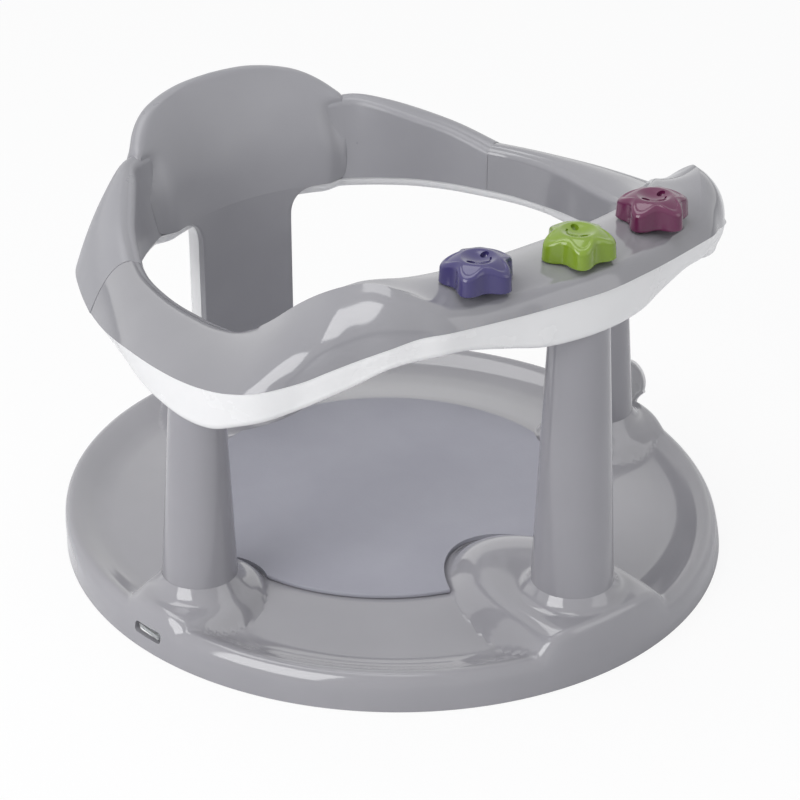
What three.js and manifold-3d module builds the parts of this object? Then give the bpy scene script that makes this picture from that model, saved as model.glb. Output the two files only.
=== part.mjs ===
// Baby bath seat: a ring with a toy tray on three round posts and a backrest leg, over a round base.
// Millimetres, +Z up, +Y towards the backrest, origin on the floor under the middle of the whole.
// The tables and sizes are measured from the middle of the base's circle.
import * as THREE from 'three';
import { mergeVertices } from 'three/addons/utils/BufferGeometryUtils.js';
import Module from 'manifold-3d';

const wasm = await Module();
wasm.setup();

// Overall sizes
const baseHalfWidth = 190;
const baseFrontReach = baseHalfWidth * 1.01316;   // from the origin to the front of the base
const baseBackReach = baseHalfWidth * 1.03947;    // the same to the back
const rimBackReach = baseHalfWidth * 1.03684;     // the same at the top of the rim
const baseShift = 7.5;           // the seat and the rim lie this far behind the origin
const ringHalfWidth = baseHalfWidth * 0.94737;
const ringReach = baseHalfWidth * 0.91579;        // from the origin to the tray's front edge
const trayHeight = 231;

// Walls and clearances
const baseWall = 2.8;
const shellWall = 2.6;
const postWall = 2.6;
const fitGap = 0.3;              // between pieces that touch
const runningGap = 0.4;          // between a stem or pin and its bore
const cutOverrun = 2;
const weldDistance = 0.001;
const roundSides = 24;
const cupSides = 16;
const boreSides = 10;
const screwSides = 8;

// Base and pad
const rimHeight = 19.6;
const seatHeight = 17;
const gutterHeight = 11.5;
const seatRadius = baseHalfWidth * 0.61053;
const padRadius = baseHalfWidth * 0.60263;
const padThickness = 2.5;
const padEdge = 0.8;
const padRelief = 13;            // between the pad's cut-outs and the feet of the mounds

// Mounds under the feet
const sideMoundHeight = 27;
const sideMoundInner = 37;
const sideMoundOuter = 28;
const sideMoundAcross = 33;
const frontMoundHeight = 33;
const frontMoundInner = 85;
const frontMoundOuter = 60;
const frontMoundAcross = 43;
const backMoundHeight = 27;
const backMoundInner = 36;
const backMoundOuter = 40;
const backMoundAcross = 52;
const moundFlatShare = 0.78;     // of a mound's reach that is flat
const moundFootShare = 1.06;

// Posts
const sidePostX = ringHalfWidth * 0.825;
const sidePostY = -ringReach * 0.086;
const sidePostLean = 3;          // how far a side post's top stands inwards of its foot
const frontPostLean = 2;
const sidePostFootRadius = 21.3;
const sidePostTopRadius = 13.1;
const frontPostY = -ringReach * 0.894;
const frontPostFootRadius = 23.1;
const frontPostTopRadius = 15;
const postFloor = 6;
const sidePostSink = 7;          // how far a post's top goes into its socket
const frontPostSink = 18;
const socketWall = 2.4;
const socketRoof = 2.4;
const footEase = 1.2;

// Leg of the backrest
const panelFrontY = ringReach * 0.83333;
const panelThickness = 16;
const panelHalfWidth = ringHalfWidth * 0.383;
const panelBow = panelHalfWidth * 0.2827;         // how far its sides stand in front of its middle
const panelLean = trayHeight * 0.0433;            // how far the panel's middle leans back over its height
const panelCurl = trayHeight * 0.0693;            // and how far it curls back on top of that
const panelEdgeLean = trayHeight * 0.1775;        // the same curl at the panel's sides
const legHalfWidth = ringHalfWidth * 0.189;
const legFloor = 6;
const legFlareHalfWidth = ringHalfWidth * 0.264;  // where the leg's arc meets the seam
const legFlareDrop = trayHeight * 0.075;          // from the seam down to where the leg starts to widen
const frontSkin = 4;             // of the leg that belongs to the grey moulding
const panelSkin = 6.5;           // the same for the panel above it
const rearPanelHalfWidth = panelHalfWidth * 0.58;
const rearPanelShoulder = trayHeight * 0.93;
const rearPanelTop = trayHeight * 0.96;
const rearPanelTopHalfWidth = panelHalfWidth * 0.435;

// Ring shells
const sideFloor = trayHeight * 0.645;    // underside of the white shell at the side posts
const frontFloor = trayHeight * 0.855;   // the same at the front post
const seamGap = 0.4;
const seamStep = 0.6;            // the white shells stand this far inside the grey ones
const rearSeamHeight = trayHeight * 0.684;
const rearFloorDrop = 8;         // from the rear seam down to the white shell's floor
const floorRound = 3;
const innerDraft = 2;
const mouldingStep = 0.8;        // the rear moulding is this much larger than the front cover
const whiteSplitY = ringReach * 0.13506;
const coverSteps = 1.25;         // sections per row of the outline tables
const underSteps = 1.25;
const rearSteps = 1.5;
const joinStep = 0.5;            // rows between the sections of the rear arms' white shells
const joinStart = 0.02;
const joinEnd = 6.6;             // row of the rear outline where those shells end
const searchStep = 0.05;

// Star toys
const starTip = 20;
const starValley = 14.8;
const starHeight = 14;
const starBevel = 3;
const starBevelSteps = 2;
const starLift = 0.5;
const starPoints = 5;
const starDish = 1.2;
const eyeRadius = 2;
const eyeSpread = 5.4;
const eyeRise = 0.8;
const smileRadius = 5.8;
const smileWidth = 1.4;
const smileSteps = 6;
const smileSweep = 0.95;         // half angle of the smile, in radians
const spindleRadius = 4;
const spindleSink = 8.5;         // how far the spindle goes into its star
const spindleTail = 8.6;         // below the tray's top
const clipRadius = 8;
const clipThickness = 1.8;
const clipDrop = 6.2;            // from the tray's top down to the clip
const bearingRim = 1.5;          // of the face the clip runs on, round the clip

// Suction cups and release tab
const cupRadius = 30;
const cupHeight = 9;
const cupLip = 1;
const stemRadius = 5;
const bossWall = 3.2;
const tongueWidth = 18;
const tongueThickness = 2.2;
const windowWidth = 21;
const windowHeight = 6.5;
const windowMiddle = 11.2;
const leftWindowY = -19.5;
const rightWindowY = 0;
const hingeReach = 2.5;          // from the base's wall out to the tab's hinge line
const earWidth = 3;
const barrelRadius = 2.3;
const pinRadius = 1.1;
const tabThickness = 2.2;
const tabNeckWidth = 10;
const tabWidth = 24;
const tabLength = 35;
const tabNeckLength = 10;

// Screws
const screwRadius = 1.6;
const screwHeadRadius = 2.8;
const screwHeadHeight = 1.8;
const screwLength = 8.4;
const screwSpread = 12.4;        // from a post's axis to its screws
const legScrewSpread = 20;
const ringBossRadius = 4.2;
const pilotDepth = 7.2;
const pilotRoof = 1;             // left over a foot screw's pilot hole
const headSink = 0.9;            // of a ring screw's head into the white floor
const bossLift = 1.6;            // of a ring boss over the white floor

// Colours
const lightGrey = 0xb9b8bd;
const midGrey = 0x97969b;
const postGrey = 0x8f9094;
const white = 0xe4e4e6;
const padGrey = 0x94949e;
const cupClear = 0xd9dcdf;
const steel = 0xb0b2b5;
const purple = 0x4a4474;
const green = 0x83993a;
const magenta = 0x66305a;

const assembly = new THREE.Group();

function plastic(colour, roughness = 0.45, metalness = 0) {
  return new THREE.MeshStandardMaterial({ color: colour, roughness, metalness });
}

// Adds a named piece to the assembly.
function addPiece(name, body, material) {
  const geometry = body.isBufferGeometry ? welded(body) : geometryOf(body);
  geometry.computeVertexNormals();
  const mesh = new THREE.Mesh(geometry, material);
  mesh.name = name;
  assembly.add(mesh);
  return mesh;
}

// Merges shared vertices, drops flat triangles and turns the faces outwards.
function welded(geometry) {
  const bare = geometry.clone();
  bare.deleteAttribute('normal');
  bare.deleteAttribute('uv');
  const merged = mergeVertices(bare, weldDistance);
  const place = merged.attributes.position;
  const corners = [0, 1, 2].map(() => new THREE.Vector3());
  const faces = [];
  let volume = 0;
  for (let i = 0; i < merged.index.count; i += 3) {
    const face = [0, 1, 2].map((k) => merged.index.getX(i + k));
    if (face[0] === face[1] || face[1] === face[2] || face[0] === face[2]) continue;
    face.forEach((vertex, k) => corners[k].fromBufferAttribute(place, vertex));
    volume += corners[0].dot(corners[1].clone().cross(corners[2]));
    faces.push(face);
  }
  if (volume < 0) faces.forEach((face) => face.reverse());
  merged.setIndex(faces.flat());
  return merged;
}

function solidOf(geometry) {
  const body = welded(geometry);
  return new wasm.Manifold(new wasm.Mesh({
    numProp: 3,
    vertProperties: Float32Array.from(body.attributes.position.array),
    triVerts: Uint32Array.from(body.index.array),
  }));
}

function geometryOf(solid) {
  const mesh = solid.getMesh();
  const geometry = new THREE.BufferGeometry();
  const places = Float32Array.from(mesh.vertProperties);
  geometry.setAttribute('position', new THREE.BufferAttribute(places, 3));
  geometry.setIndex(Array.from(mesh.triVerts));
  return geometry;
}

// The largest body of a solid, without the chips that thin walls leave where they cross
function mainBody(solid) {
  return solid.decompose().sort((a, b) => b.volume() - a.volume())[0];
}

function blend(a, b, share) {
  return a + (b - a) * share;
}

function easeStep(low, high, value) {
  const share = Math.min(Math.max((value - low) / (high - low), 0), 1);
  return share * share * (3 - 2 * share);
}

// A smooth value through the table's rows at a place between two of them.
function smoothRow(rows, place) {
  const at = Math.min(Math.floor(place), rows.length - 2);
  const share = place - at;
  const row = (k) => rows[Math.min(Math.max(k, 0), rows.length - 1)];
  const [before, start, end, after] = [row(at - 1), row(at), row(at + 1), row(at + 2)];
  return start.map((value, k) => {
    const slopeIn = (end[k] - before[k]) / 2;
    const slopeOut = (after[k] - value) / 2;
    const bend = 3 * (end[k] - value) - 2 * slopeIn - slopeOut;
    const twist = 2 * (value - end[k]) + slopeIn + slopeOut;
    return value + slopeIn * share + bend * share ** 2 + twist * share ** 3;
  });
}

// A closed body through rings of points; a ring may be a single point.
function skin(rings) {
  const places = [];
  const faces = [];
  const starts = [];
  rings.forEach((ring) => {
    starts.push(places.length / 3);
    ring.forEach((point) => places.push(point.x, point.y, point.z));
  });
  for (let k = 0; k + 1 < rings.length; k += 1) {
    const [lower, upper] = [rings[k], rings[k + 1]];
    const count = Math.max(lower.length, upper.length);
    for (let i = 0; i < count; i += 1) {
      const next = (i + 1) % count;
      const a = starts[k] + (i % lower.length);
      const b = starts[k] + (next % lower.length);
      const c = starts[k + 1] + (next % upper.length);
      const d = starts[k + 1] + (i % upper.length);
      if (a !== b) faces.push(a, b, c);
      if (c !== d) faces.push(a, c, d);
    }
  }
  const geometry = new THREE.BufferGeometry();
  geometry.setAttribute('position', new THREE.Float32BufferAttribute(places, 3));
  geometry.setIndex(faces);
  return geometry;
}

// A closed body through rings of equal length; both halves of a ring run from one end to the other,
// so that a cap is a ladder of faces between them.
function loft(rings) {
  const body = skin(rings);
  const faces = Array.from(body.index.array);
  const count = rings[0].length;
  [[0, false], [(rings.length - 1) * count, true]].forEach(([start, top]) => {
    for (let i = 0; i + 1 < count / 2; i += 1) {
      const [a, b, c, d] = [i, i + 1, count - 2 - i, count - 1 - i].map((k) => start + k);
      if (top) faces.push(a, b, c, a, c, d);
      else faces.push(a, c, b, a, d, c);
    }
  });
  body.setIndex(faces);
  return body;
}

// A body turned about the vertical through x, y; the profile closes on itself or on the axis.
function turned(profile, x = 0, y = 0, sides = roundSides) {
  const points = profile.map(([radius, height]) => new THREE.Vector2(radius, height));
  const body = new THREE.LatheGeometry(points, sides);
  body.rotateX(Math.PI / 2);
  body.translate(x, y, 0);
  return body;
}

function drum(radius, low, high, x, y, sides = boreSides) {
  return turned([[0, low], [radius, low], [radius, high], [0, high]], x, y, sides);
}

// A box between two corners.
function block(low, high) {
  const size = high.map((value, k) => value - low[k]);
  const body = new THREE.BoxGeometry(...size);
  body.translate(...low.map((value, k) => value + size[k] / 2));
  return body;
}

// Feet: where each mound stands and what it carries
const legMiddleY = panelFrontY + panelThickness / 2;
const mounds = [
  {
    x: 0, y: frontPostY, height: frontMoundHeight,
    inner: frontMoundInner, outer: frontMoundOuter, across: frontMoundAcross,
  },
  {
    x: 0, y: legMiddleY, height: backMoundHeight,
    inner: backMoundInner, outer: backMoundOuter, across: backMoundAcross,
  },
  ...[-1, 1].map((side) => ({
    x: side * sidePostX, y: sidePostY, height: sideMoundHeight,
    inner: sideMoundInner, outer: sideMoundOuter, across: sideMoundAcross,
  })),
];

// Share of its full height that a mound has at a place.
function moundShare(mound, x, y) {
  const reach = Math.hypot(mound.x, mound.y - baseShift);
  const out = [mound.x / reach, (mound.y - baseShift) / reach];
  const along = (x - mound.x) * out[0] + (y - mound.y) * out[1];
  const aside = (x - mound.x) * out[1] - (y - mound.y) * out[0];
  const length = along < 0 ? mound.inner : mound.outer;
  const distance = Math.hypot(along / length, aside / mound.across);
  return 1 - easeStep(moundFlatShare, moundFootShare, distance);
}

// Base rings from the middle out: share of the half width, height, share of the mounds' lift.
// The last share is also how much of the rim's shift and back reach a ring has.
const seatShare = seatRadius / baseHalfWidth;
const rimShare = 0.964;
const slope = rimHeight - gutterHeight;
const topRows = [
  [0.3, seatHeight, 1], [0.345, seatHeight, 1], [0.38, seatHeight, 1], [0.43, seatHeight, 1],
  [0.48, seatHeight, 1], [0.53, seatHeight, 1], [0.572, seatHeight, 1],
  [seatShare, seatHeight, 1], [0.65, blend(seatHeight, gutterHeight, 0.14), 1],
  [0.69, blend(seatHeight, gutterHeight, 0.38), 1], [0.73, blend(seatHeight, gutterHeight, 0.62), 1],
  [0.77, blend(seatHeight, gutterHeight, 0.84), 1], [0.81, blend(seatHeight, gutterHeight, 0.97), 1],
  [0.848, gutterHeight, 1], [0.884, gutterHeight + slope * 0.2, 1], [0.918, gutterHeight + slope * 0.58, 1],
  [0.944, gutterHeight + slope * 0.88, 1], [rimShare, rimHeight, 1], [0.979, rimHeight * 0.91, 0.9],
  [0.99, rimHeight * 0.7, 0.55], [0.996, rimHeight * 0.35, 0.2], [1, 0, 0],
];
const wallShare = baseWall / baseHalfWidth;
const underRows = [
  [1 - wallShare, 0, 0], [0.995 - wallShare, rimHeight * 0.35, 0.2],
  [0.984 - wallShare, rimHeight * 0.62, 0.5], [0.963 - wallShare, rimHeight * 0.8, 0.82],
];
const openRows = topRows.filter(([share]) => share < 0.95).map(([share, height, lift]) =>
  [share, height - baseWall, lift]);

// Angles round the base, close together where a mound rises
const moundStepCount = 8;
const plainStepCount = 4;
const moundReachAngle = 0.31;
const baseAngles = [];
[-Math.PI / 2, -0.165, Math.PI / 2, Math.PI + 0.165].forEach((middle, k, all) => {
  const next = k === 3 ? all[0] + 2 * Math.PI : all[k + 1];
  for (let i = 0; i < moundStepCount; i += 1) {
    baseAngles.push(middle + moundReachAngle * (2 * i / moundStepCount - 1));
  }
  const start = middle + moundReachAngle;
  const room = next - moundReachAngle - start;
  for (let i = 0; i < plainStepCount; i += 1) baseAngles.push(start + room * i / plainStepCount);
});

function baseRing([share, height, lift], under) {
  const radius = share * baseHalfWidth;
  const outward = Math.min(Math.max((share - seatShare) / (rimShare - seatShare), 0), 1);
  const shift = baseShift * lift;
  const frontStretch = baseFrontReach - baseHalfWidth + shift;
  const backReach = blend(baseBackReach - baseHalfWidth, rimBackReach - rimShare * baseHalfWidth, lift);
  return baseAngles.map((angle) => {
    const x = radius * Math.cos(angle);
    const stretch = Math.sin(angle) < 0 ? frontStretch : backReach - shift;
    const y = (radius + outward * stretch) * Math.sin(angle) + shift;
    let raise = 0;
    mounds.forEach((mound) => {
      const foot = lift < 1 ? rimHeight : height + under;
      raise = Math.max(raise, (mound.height - foot) * moundShare(mound, x, y));
    });
    return new THREE.Vector3(x, y, height + raise * lift);
  });
}

function baseShell() {
  const rings = [[new THREE.Vector3(0, baseShift, seatHeight)]];
  topRows.forEach((row) => rings.push(baseRing(row, 0)));
  underRows.forEach((row) => rings.push(baseRing(row, 0)));
  [...openRows].reverse().forEach((row) => rings.push(baseRing(row, baseWall)));
  rings.push([new THREE.Vector3(0, baseShift, seatHeight - baseWall)]);
  return solidOf(skin(rings));
}

function moundUnder(mound) {
  return mound.height - baseWall;
}

// Screw holes under a foot, as places on each side of it
function footScrews(mound) {
  if (mound.x === 0 && mound.y > 0) return [-1, 1].map((side) => [side * legScrewSpread, mound.y]);
  const reach = Math.hypot(mound.x, mound.y - baseShift);
  const aside = [(mound.y - baseShift) / reach, -mound.x / reach];
  return [-1, 1].map((side) =>
    [mound.x + side * screwSpread * aside[0], mound.y + side * screwSpread * aside[1]]);
}

const stemBore = stemRadius + runningGap;
const bossRadius = stemBore + bossWall;
const bossLow = windowMiddle + windowHeight / 2;
const sideWallX = baseHalfWidth * 0.989;

let base = baseShell();
mounds.forEach((mound) => {
  const roof = moundUnder(mound) + baseWall / 2;
  base = base.add(solidOf(drum(bossRadius, bossLow, roof, mound.x, mound.y, cupSides)));
  const boreTop = moundUnder(mound);
  base = base.subtract(solidOf(drum(stemBore, bossLow - cutOverrun, boreTop, mound.x, mound.y, cupSides)));
  footScrews(mound).forEach(([x, y]) => {
    const hole = drum(screwRadius + runningGap, boreTop - cutOverrun, mound.height + cutOverrun, x, y);
    base = base.subtract(solidOf(hole));
  });
});
[-1, 1].forEach((side) => {
  const ends = [side * (sideWallX - 3 * baseWall), side * (sideWallX + 3 * baseWall)].sort((a, b) => a - b);
  const middle = side < 0 ? leftWindowY : rightWindowY;
  const low = [ends[0], middle - windowWidth / 2, windowMiddle - windowHeight / 2];
  const high = [ends[1], middle + windowWidth / 2, windowMiddle + windowHeight / 2];
  base = base.subtract(solidOf(block(low, high)));
});
addPiece('base_dish', base, plastic(lightGrey, 0.4));

// An upright oval prism as wide as a mound's foot, to cut the pad round it
function moundPrism(mound, low, high) {
  const reach = Math.hypot(mound.x, mound.y - baseShift);
  const out = new THREE.Vector2(mound.x / reach, (mound.y - baseShift) / reach);
  const ring = (height) => Array.from({ length: 2 * roundSides }, (_, k) => {
    const angle = Math.PI * k / roundSides;
    const along = -(mound.inner * moundFootShare + padRelief) * Math.cos(angle);
    const aside = (mound.across * moundFootShare + padRelief) * Math.sin(angle);
    return new THREE.Vector3(
      mound.x + along * out.x + aside * out.y, mound.y + along * out.y - aside * out.x, height);
  });
  return solidOf(loft([low, high].map(ring)));
}

const padLow = seatHeight + fitGap;
const padHigh = padLow + padThickness;
let pad = solidOf(turned([
  [0, padLow], [padRadius - padEdge, padLow], [padRadius, padLow + padEdge],
  [padRadius, padHigh - padEdge], [padRadius - padEdge, padHigh], [0, padHigh],
], 0, baseShift, 2 * roundSides));
mounds.forEach((mound) => {
  pad = pad.subtract(moundPrism(mound, padLow - cutOverrun, padHigh + cutOverrun));
});
addPiece('seat_pad', pad, plastic(padGrey, 0.8));

// Outline of the ring, front middle to the seam by the backrest: outer seam x y z, inner seam x y z,
// then the ridge's share of the way across, and the heights of the ridge, the middle beyond it and
// the inner edge, how much the outer face bulges up and out, the white shell's floor and its
// wall's draft.
// x and the outward bulge in ring half widths, y in ring reaches, heights and draft in tray
// heights.
const frontShares = [
  [[0, -1, 0.952], [0, -0.672, 0.892], [0.14, 0.991, 1, 0.981], [1.1, 0], 0.857, 0.006],
  [[0.167, -0.98, 0.95], [0.156, -0.67, 0.892], [0.15, 0.99, 1, 0.981], [1.1, 0], 0.855, 0.009],
  [[0.289, -0.954, 0.946], [0.267, -0.661, 0.892], [0.17, 0.985, 1, 0.981], [1.1, 0], 0.861, 0.017],
  [[0.417, -0.925, 0.944], [0.378, -0.644, 0.892], [0.17, 0.981, 1, 0.982], [1, 0], 0.879, 0.019],
  [[0.506, -0.905, 0.944], [0.456, -0.621, 0.887], [0.22, 0.996, 0.998, 0.987], [0.8, 0.006], 0.896, 0.019],
  [[0.572, -0.862, 0.935], [0.511, -0.598, 0.887], [0.27, 1.017, 1, 0.994], [0.7, 0.012], 0.885, 0.019],
  [[0.639, -0.816, 0.913], [0.556, -0.569, 0.879], [0.36, 1.035, 1.002, 0.991], [0.6, 0.02], 0.87, 0.019],
  [[0.7, -0.753, 0.883], [0.589, -0.529, 0.866], [0.41, 1.025, 0.986, 0.974], [0.5, 0.028], 0.838, 0.019],
  [[0.761, -0.695, 0.853], [0.622, -0.477, 0.844], [0.46, 1, 0.962, 0.947], [0.45, 0.035], 0.81, 0.019],
  [[0.817, -0.632, 0.82], [0.656, -0.42, 0.814], [0.6, 0.953, 0.924, 0.907], [0.4, 0.038], 0.773, 0.019],
  [[0.906, -0.563, 0.797], [0.689, -0.356, 0.771], [0.74, 0.892, 0.872, 0.853], [0.4, 0.033], 0.738, 0.019],
  [[0.956, -0.489, 0.784], [0.717, -0.287, 0.74], [0.76, 0.85, 0.835, 0.81], [0.5, 0.022], 0.716, 0.019],
  [[0.989, -0.402, 0.777], [0.733, -0.218, 0.719], [0.72, 0.826, 0.816, 0.784], [0.75, 0.01], 0.675, 0.022],
  [[1.006, -0.287, 0.771], [0.744, -0.126, 0.701], [0.68, 0.816, 0.808, 0.782], [0.9, 0], 0.658, 0.022],
  [[1, -0.144, 0.76], [0.752, -0.029, 0.693], [0.67, 0.814, 0.806, 0.781], [0.9, 0], 0.645, 0.022],
  [[0.978, 0, 0.745], [0.757, 0.069, 0.688], [0.68, 0.812, 0.805, 0.78], [0.9, 0], 0.645, 0.022],
  [[0.944, 0.144, 0.723], [0.748, 0.172, 0.684], [0.7, 0.809, 0.803, 0.779], [0.9, 0], 0.649, 0.022],
  [[0.902, 0.287, 0.701], [0.726, 0.276, 0.684], [0.72, 0.806, 0.8, 0.778], [0.95, 0], 0.649, 0.017],
  [[0.853, 0.431, 0.684], [0.69, 0.373, 0.684], [0.74, 0.804, 0.799, 0.778], [1, 0], 0.649, 0.013],
];

// Outline of the rear arms from there to the middle behind the panel: outer and inner seam, the
// ridge's share of the way across, the heights of the ridge and the inner edge, and how far the
// inner edge leans outwards at its top.
const rearShares = [
  [[0.797, 0.58], [0.628, 0.503], [0.75, 0.84, 0.82], 0],
  [[0.722, 0.73], [0.558, 0.609], [0.75, 0.866, 0.848], 0],
  [[0.617, 0.842], [0.483, 0.684], [0.76, 0.887, 0.87], 0.017],
  [[0.506, 0.902], [0.414, 0.739], [0.76, 0.896, 0.88], 0.043],
  [[0.389, 0.914], [0.35, 0.782], [0.75, 0.89, 0.874], 0.039],
  [[0.25, 0.914], [0.233, 0.862], [0.7, 0.872, 0.86], 0.013],
  [[0.122, 0.931], [0.117, 0.879], [0.7, 0.862, 0.85], 0.004],
  [[0, 0.937], [0, 0.885], [0.7, 0.858, 0.846], 0],
];

// Outline of the leg and the domed panel on it: height in tray heights, half width in ring half
// widths
const panelShares = [
  [0.52, 0.19], [0.607, 0.19], [0.632, 0.194], [0.65, 0.204], [0.665, 0.22], [0.676, 0.242],
  [0.6838, 0.264], [0.6842, 0.36], [0.69, 0.376], [0.71, 0.384], [0.78, 0.388], [0.866, 0.397],
  [0.895, 0.398], [0.914, 0.386],
  [0.932, 0.366], [0.95, 0.336], [0.965, 0.298], [0.978, 0.244], [0.988, 0.186], [0.995, 0.116],
  [0.999, 0.046],
];

// Where a cover's section is sampled: shares of its outer face and of the way beyond the ridge
const faceShares = [0, 0.3, 0.65];
const beyondShares = [0, 0.25, 0.5, 0.78, 0.95];
const edgeRoundShare = 0.3;
const rearMiddleShare = 0.3;     // how far the rear arm's top falls towards its edge halfway there
const loopShares = [0, 0.3, 0.6, 0.85, 0.96, 1];
const loopThickness = [1, 1, 1, 0.9, 0.66, 0.24];

function mirrorRow(row, sideIndexes) {
  return row.map((value, k) => (sideIndexes.includes(k) ? -value : value));
}

// Flattens the tables into rows of plain sizes, mirrored into a whole run from left to right.
const frontRows = frontShares.map(([outer, inner, top, bulge, floor, draft]) => [
  outer[0] * ringHalfWidth, outer[1] * ringReach, outer[2] * trayHeight,
  inner[0] * ringHalfWidth, inner[1] * ringReach, inner[2] * trayHeight,
  top[0], ...top.slice(1).map((height) => height * trayHeight), bulge[0], bulge[1] * ringHalfWidth,
  floor * trayHeight, draft * trayHeight,
]);
const rearRows = rearShares.map(([outer, inner, top, lean]) => [
  outer[0] * ringHalfWidth, outer[1] * ringReach, inner[0] * ringHalfWidth, inner[1] * ringReach,
  top[1] * trayHeight, top[0], top[2] * trayHeight, lean * trayHeight,
]);

// The rear moulding starts a gap beyond the front cover's end, a little larger than it.
const frontEnd = frontRows.at(-1);
const endAcross = new THREE.Vector2(frontEnd[3] - frontEnd[0], frontEnd[4] - frontEnd[1]).normalize();
const rearStart = [0, 3].flatMap((k) => {
  const step = k === 0 ? -mouldingStep : mouldingStep;
  return [
    frontEnd[k] + endAcross.x * step + endAcross.y * fitGap,
    frontEnd[k + 1] + endAcross.y * step - endAcross.x * fitGap,
  ];
});
rearRows.unshift([
  ...rearStart, frontEnd[7] + mouldingStep, frontEnd[6], frontEnd[9] + mouldingStep, 0,
]);
const frontRun = [...frontRows.slice(1).reverse().map((row) => mirrorRow(row, [0, 3])), ...frontRows];
const rearRun = [...rearRows.map((row) => mirrorRow(row, [0, 2])), ...rearRows.slice(0, -1).reverse()];

// Moves the points of a section's line inwards by a wall, and closes it into a thin loop.
function shellOutline(line, wall) {
  const inside = line.map((point, k) => {
    const before = line[Math.max(k - 1, 0)];
    const after = line[Math.min(k + 1, line.length - 1)];
    const run = after.clone().sub(before).normalize();
    return new THREE.Vector2(point.x + run.y * wall, point.y - run.x * wall);
  });
  inside[0].set(line[0].x + wall, line[0].y);
  inside.at(-1).set(line.at(-1).x - wall, line.at(-1).y);
  return [...line, ...inside.reverse()];
}

// Places a flat section across the ring, from its outer point towards its inner point.
function placeSection(outline, outer, inner) {
  const across = new THREE.Vector2(inner[0] - outer[0], inner[1] - outer[1]).normalize();
  return outline.map((point) =>
    new THREE.Vector3(outer[0] + across.x * point.x, outer[1] + across.y * point.x, point.y));
}

function coverSection(row) {
  const [ox, oy, , ix, iy] = row;
  return placeSection(shellOutline(coverLine(row), shellWall), [ox, oy], [ix, iy]);
}

// The whole space under a cover, its wall included
function coverSpace(row) {
  const [ox, oy, , ix, iy] = row;
  return placeSection(coverLine(row), [ox, oy], [ix, iy]);
}

// The line over a cover's section, from its outer seam to its inner one
function coverLine(row) {
  const [ox, oy, oz, ix, iy, iz, ridgeShare, ridge, middle, edge, bulge, belly] = row;
  const width = Math.hypot(ix - ox, iy - oy);
  const line = faceShares.map((share) => {
    const hump = share * (1 - share);
    return new THREE.Vector2(
      share * ridgeShare * width - 4 * belly * hump, blend(oz, ridge, share + bulge * hump));
  });
  beyondShares.forEach((share) => {
    const near = ridge * (1 - share) * (1 - 2 * share);
    const mid = middle * 4 * share * (1 - share);
    const far = edge * share * (2 * share - 1);
    line.push(new THREE.Vector2(blend(ridgeShare, 1, share) * width, near + mid + far));
  });
  line.push(new THREE.Vector2(width, edge - edgeRoundShare * shellWall));
  line.push(new THREE.Vector2(width, iz));
  return line;
}

// The line under a white shell's section: drawn-in walls and a flat floor
function underLine([ox, oy, oz, ix, iy, iz, floor, draft]) {
  const width = Math.hypot(ix - ox, iy - oy);
  const inner = width - innerDraft;
  return [
    new THREE.Vector2(width - seamStep, iz - seamGap),
    new THREE.Vector2(inner - seamStep, floor + floorRound),
    new THREE.Vector2(inner - floorRound, floor),
    new THREE.Vector2(draft + floorRound, floor),
    new THREE.Vector2(draft + seamStep / 2, floor + floorRound),
    new THREE.Vector2(seamStep, oz - seamGap),
  ];
}

function underSection(row) {
  const line = underLine(row);
  const outline = shellOutline(line, shellWall);
  outline.at(-1).set(line[0].x - shellWall, line[0].y);
  outline[line.length].set(line.at(-1).x + shellWall, line.at(-1).y);
  return placeSection(outline, [row[0], row[1]], [row[3], row[4]]);
}

// The whole space between a white shell's walls, walls included
function underSpace(row) {
  return placeSection(underLine(row), [row[0], row[1]], [row[3], row[4]]);
}

// The columns of the front table that shape the white shell
function underRow(row) {
  return [...row.slice(0, 6), ...row.slice(12)];
}

function rearSection(row) {
  const [ox, oy, ix, iy] = row;
  return placeSection(shellOutline(rearLine(row), shellWall), [ox, oy], [ix, iy]);
}

// The whole space under the rear moulding, its wall included
function rearSpan(row) {
  const [ox, oy, ix, iy] = row;
  return placeSection(rearLine(row), [ox, oy], [ix, iy]);
}

// The line over a rear arm's section, its inner side leaning outwards towards its top
function rearLine([ox, oy, ix, iy, top, ridgeShare, edge, lean]) {
  const width = Math.hypot(ix - ox, iy - oy);
  const middle = blend(top, edge, rearMiddleShare);
  return coverLine([
    ox, oy, rearSeamHeight, ix, iy, rearSeamHeight, ridgeShare, top, middle, edge, 1, 0,
  ]).map((point) => {
    const drawn = lean * (point.y - rearSeamHeight) / (top - rearSeamHeight);
    return new THREE.Vector2(point.x - drawn * point.x / width, point.y);
  });
}

function run(rows, from, to, stepsPerRow, section) {
  const count = Math.max(Math.round((to - from) * stepsPerRow), 1);
  return Array.from({ length: count + 1 }, (_, k) =>
    section(smoothRow(rows, blend(from, to, k / count))));
}

// Place along the front table where the ring's outer seam crosses a y.
function placeAtY(y) {
  let place = frontRows.length - 1;
  while (place > 0 && smoothRow(frontRows, place)[1] > y) place -= searchStep;
  return place;
}

const lastFront = frontRows.length - 1;
const splitPlace = placeAtY(whiteSplitY);

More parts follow.
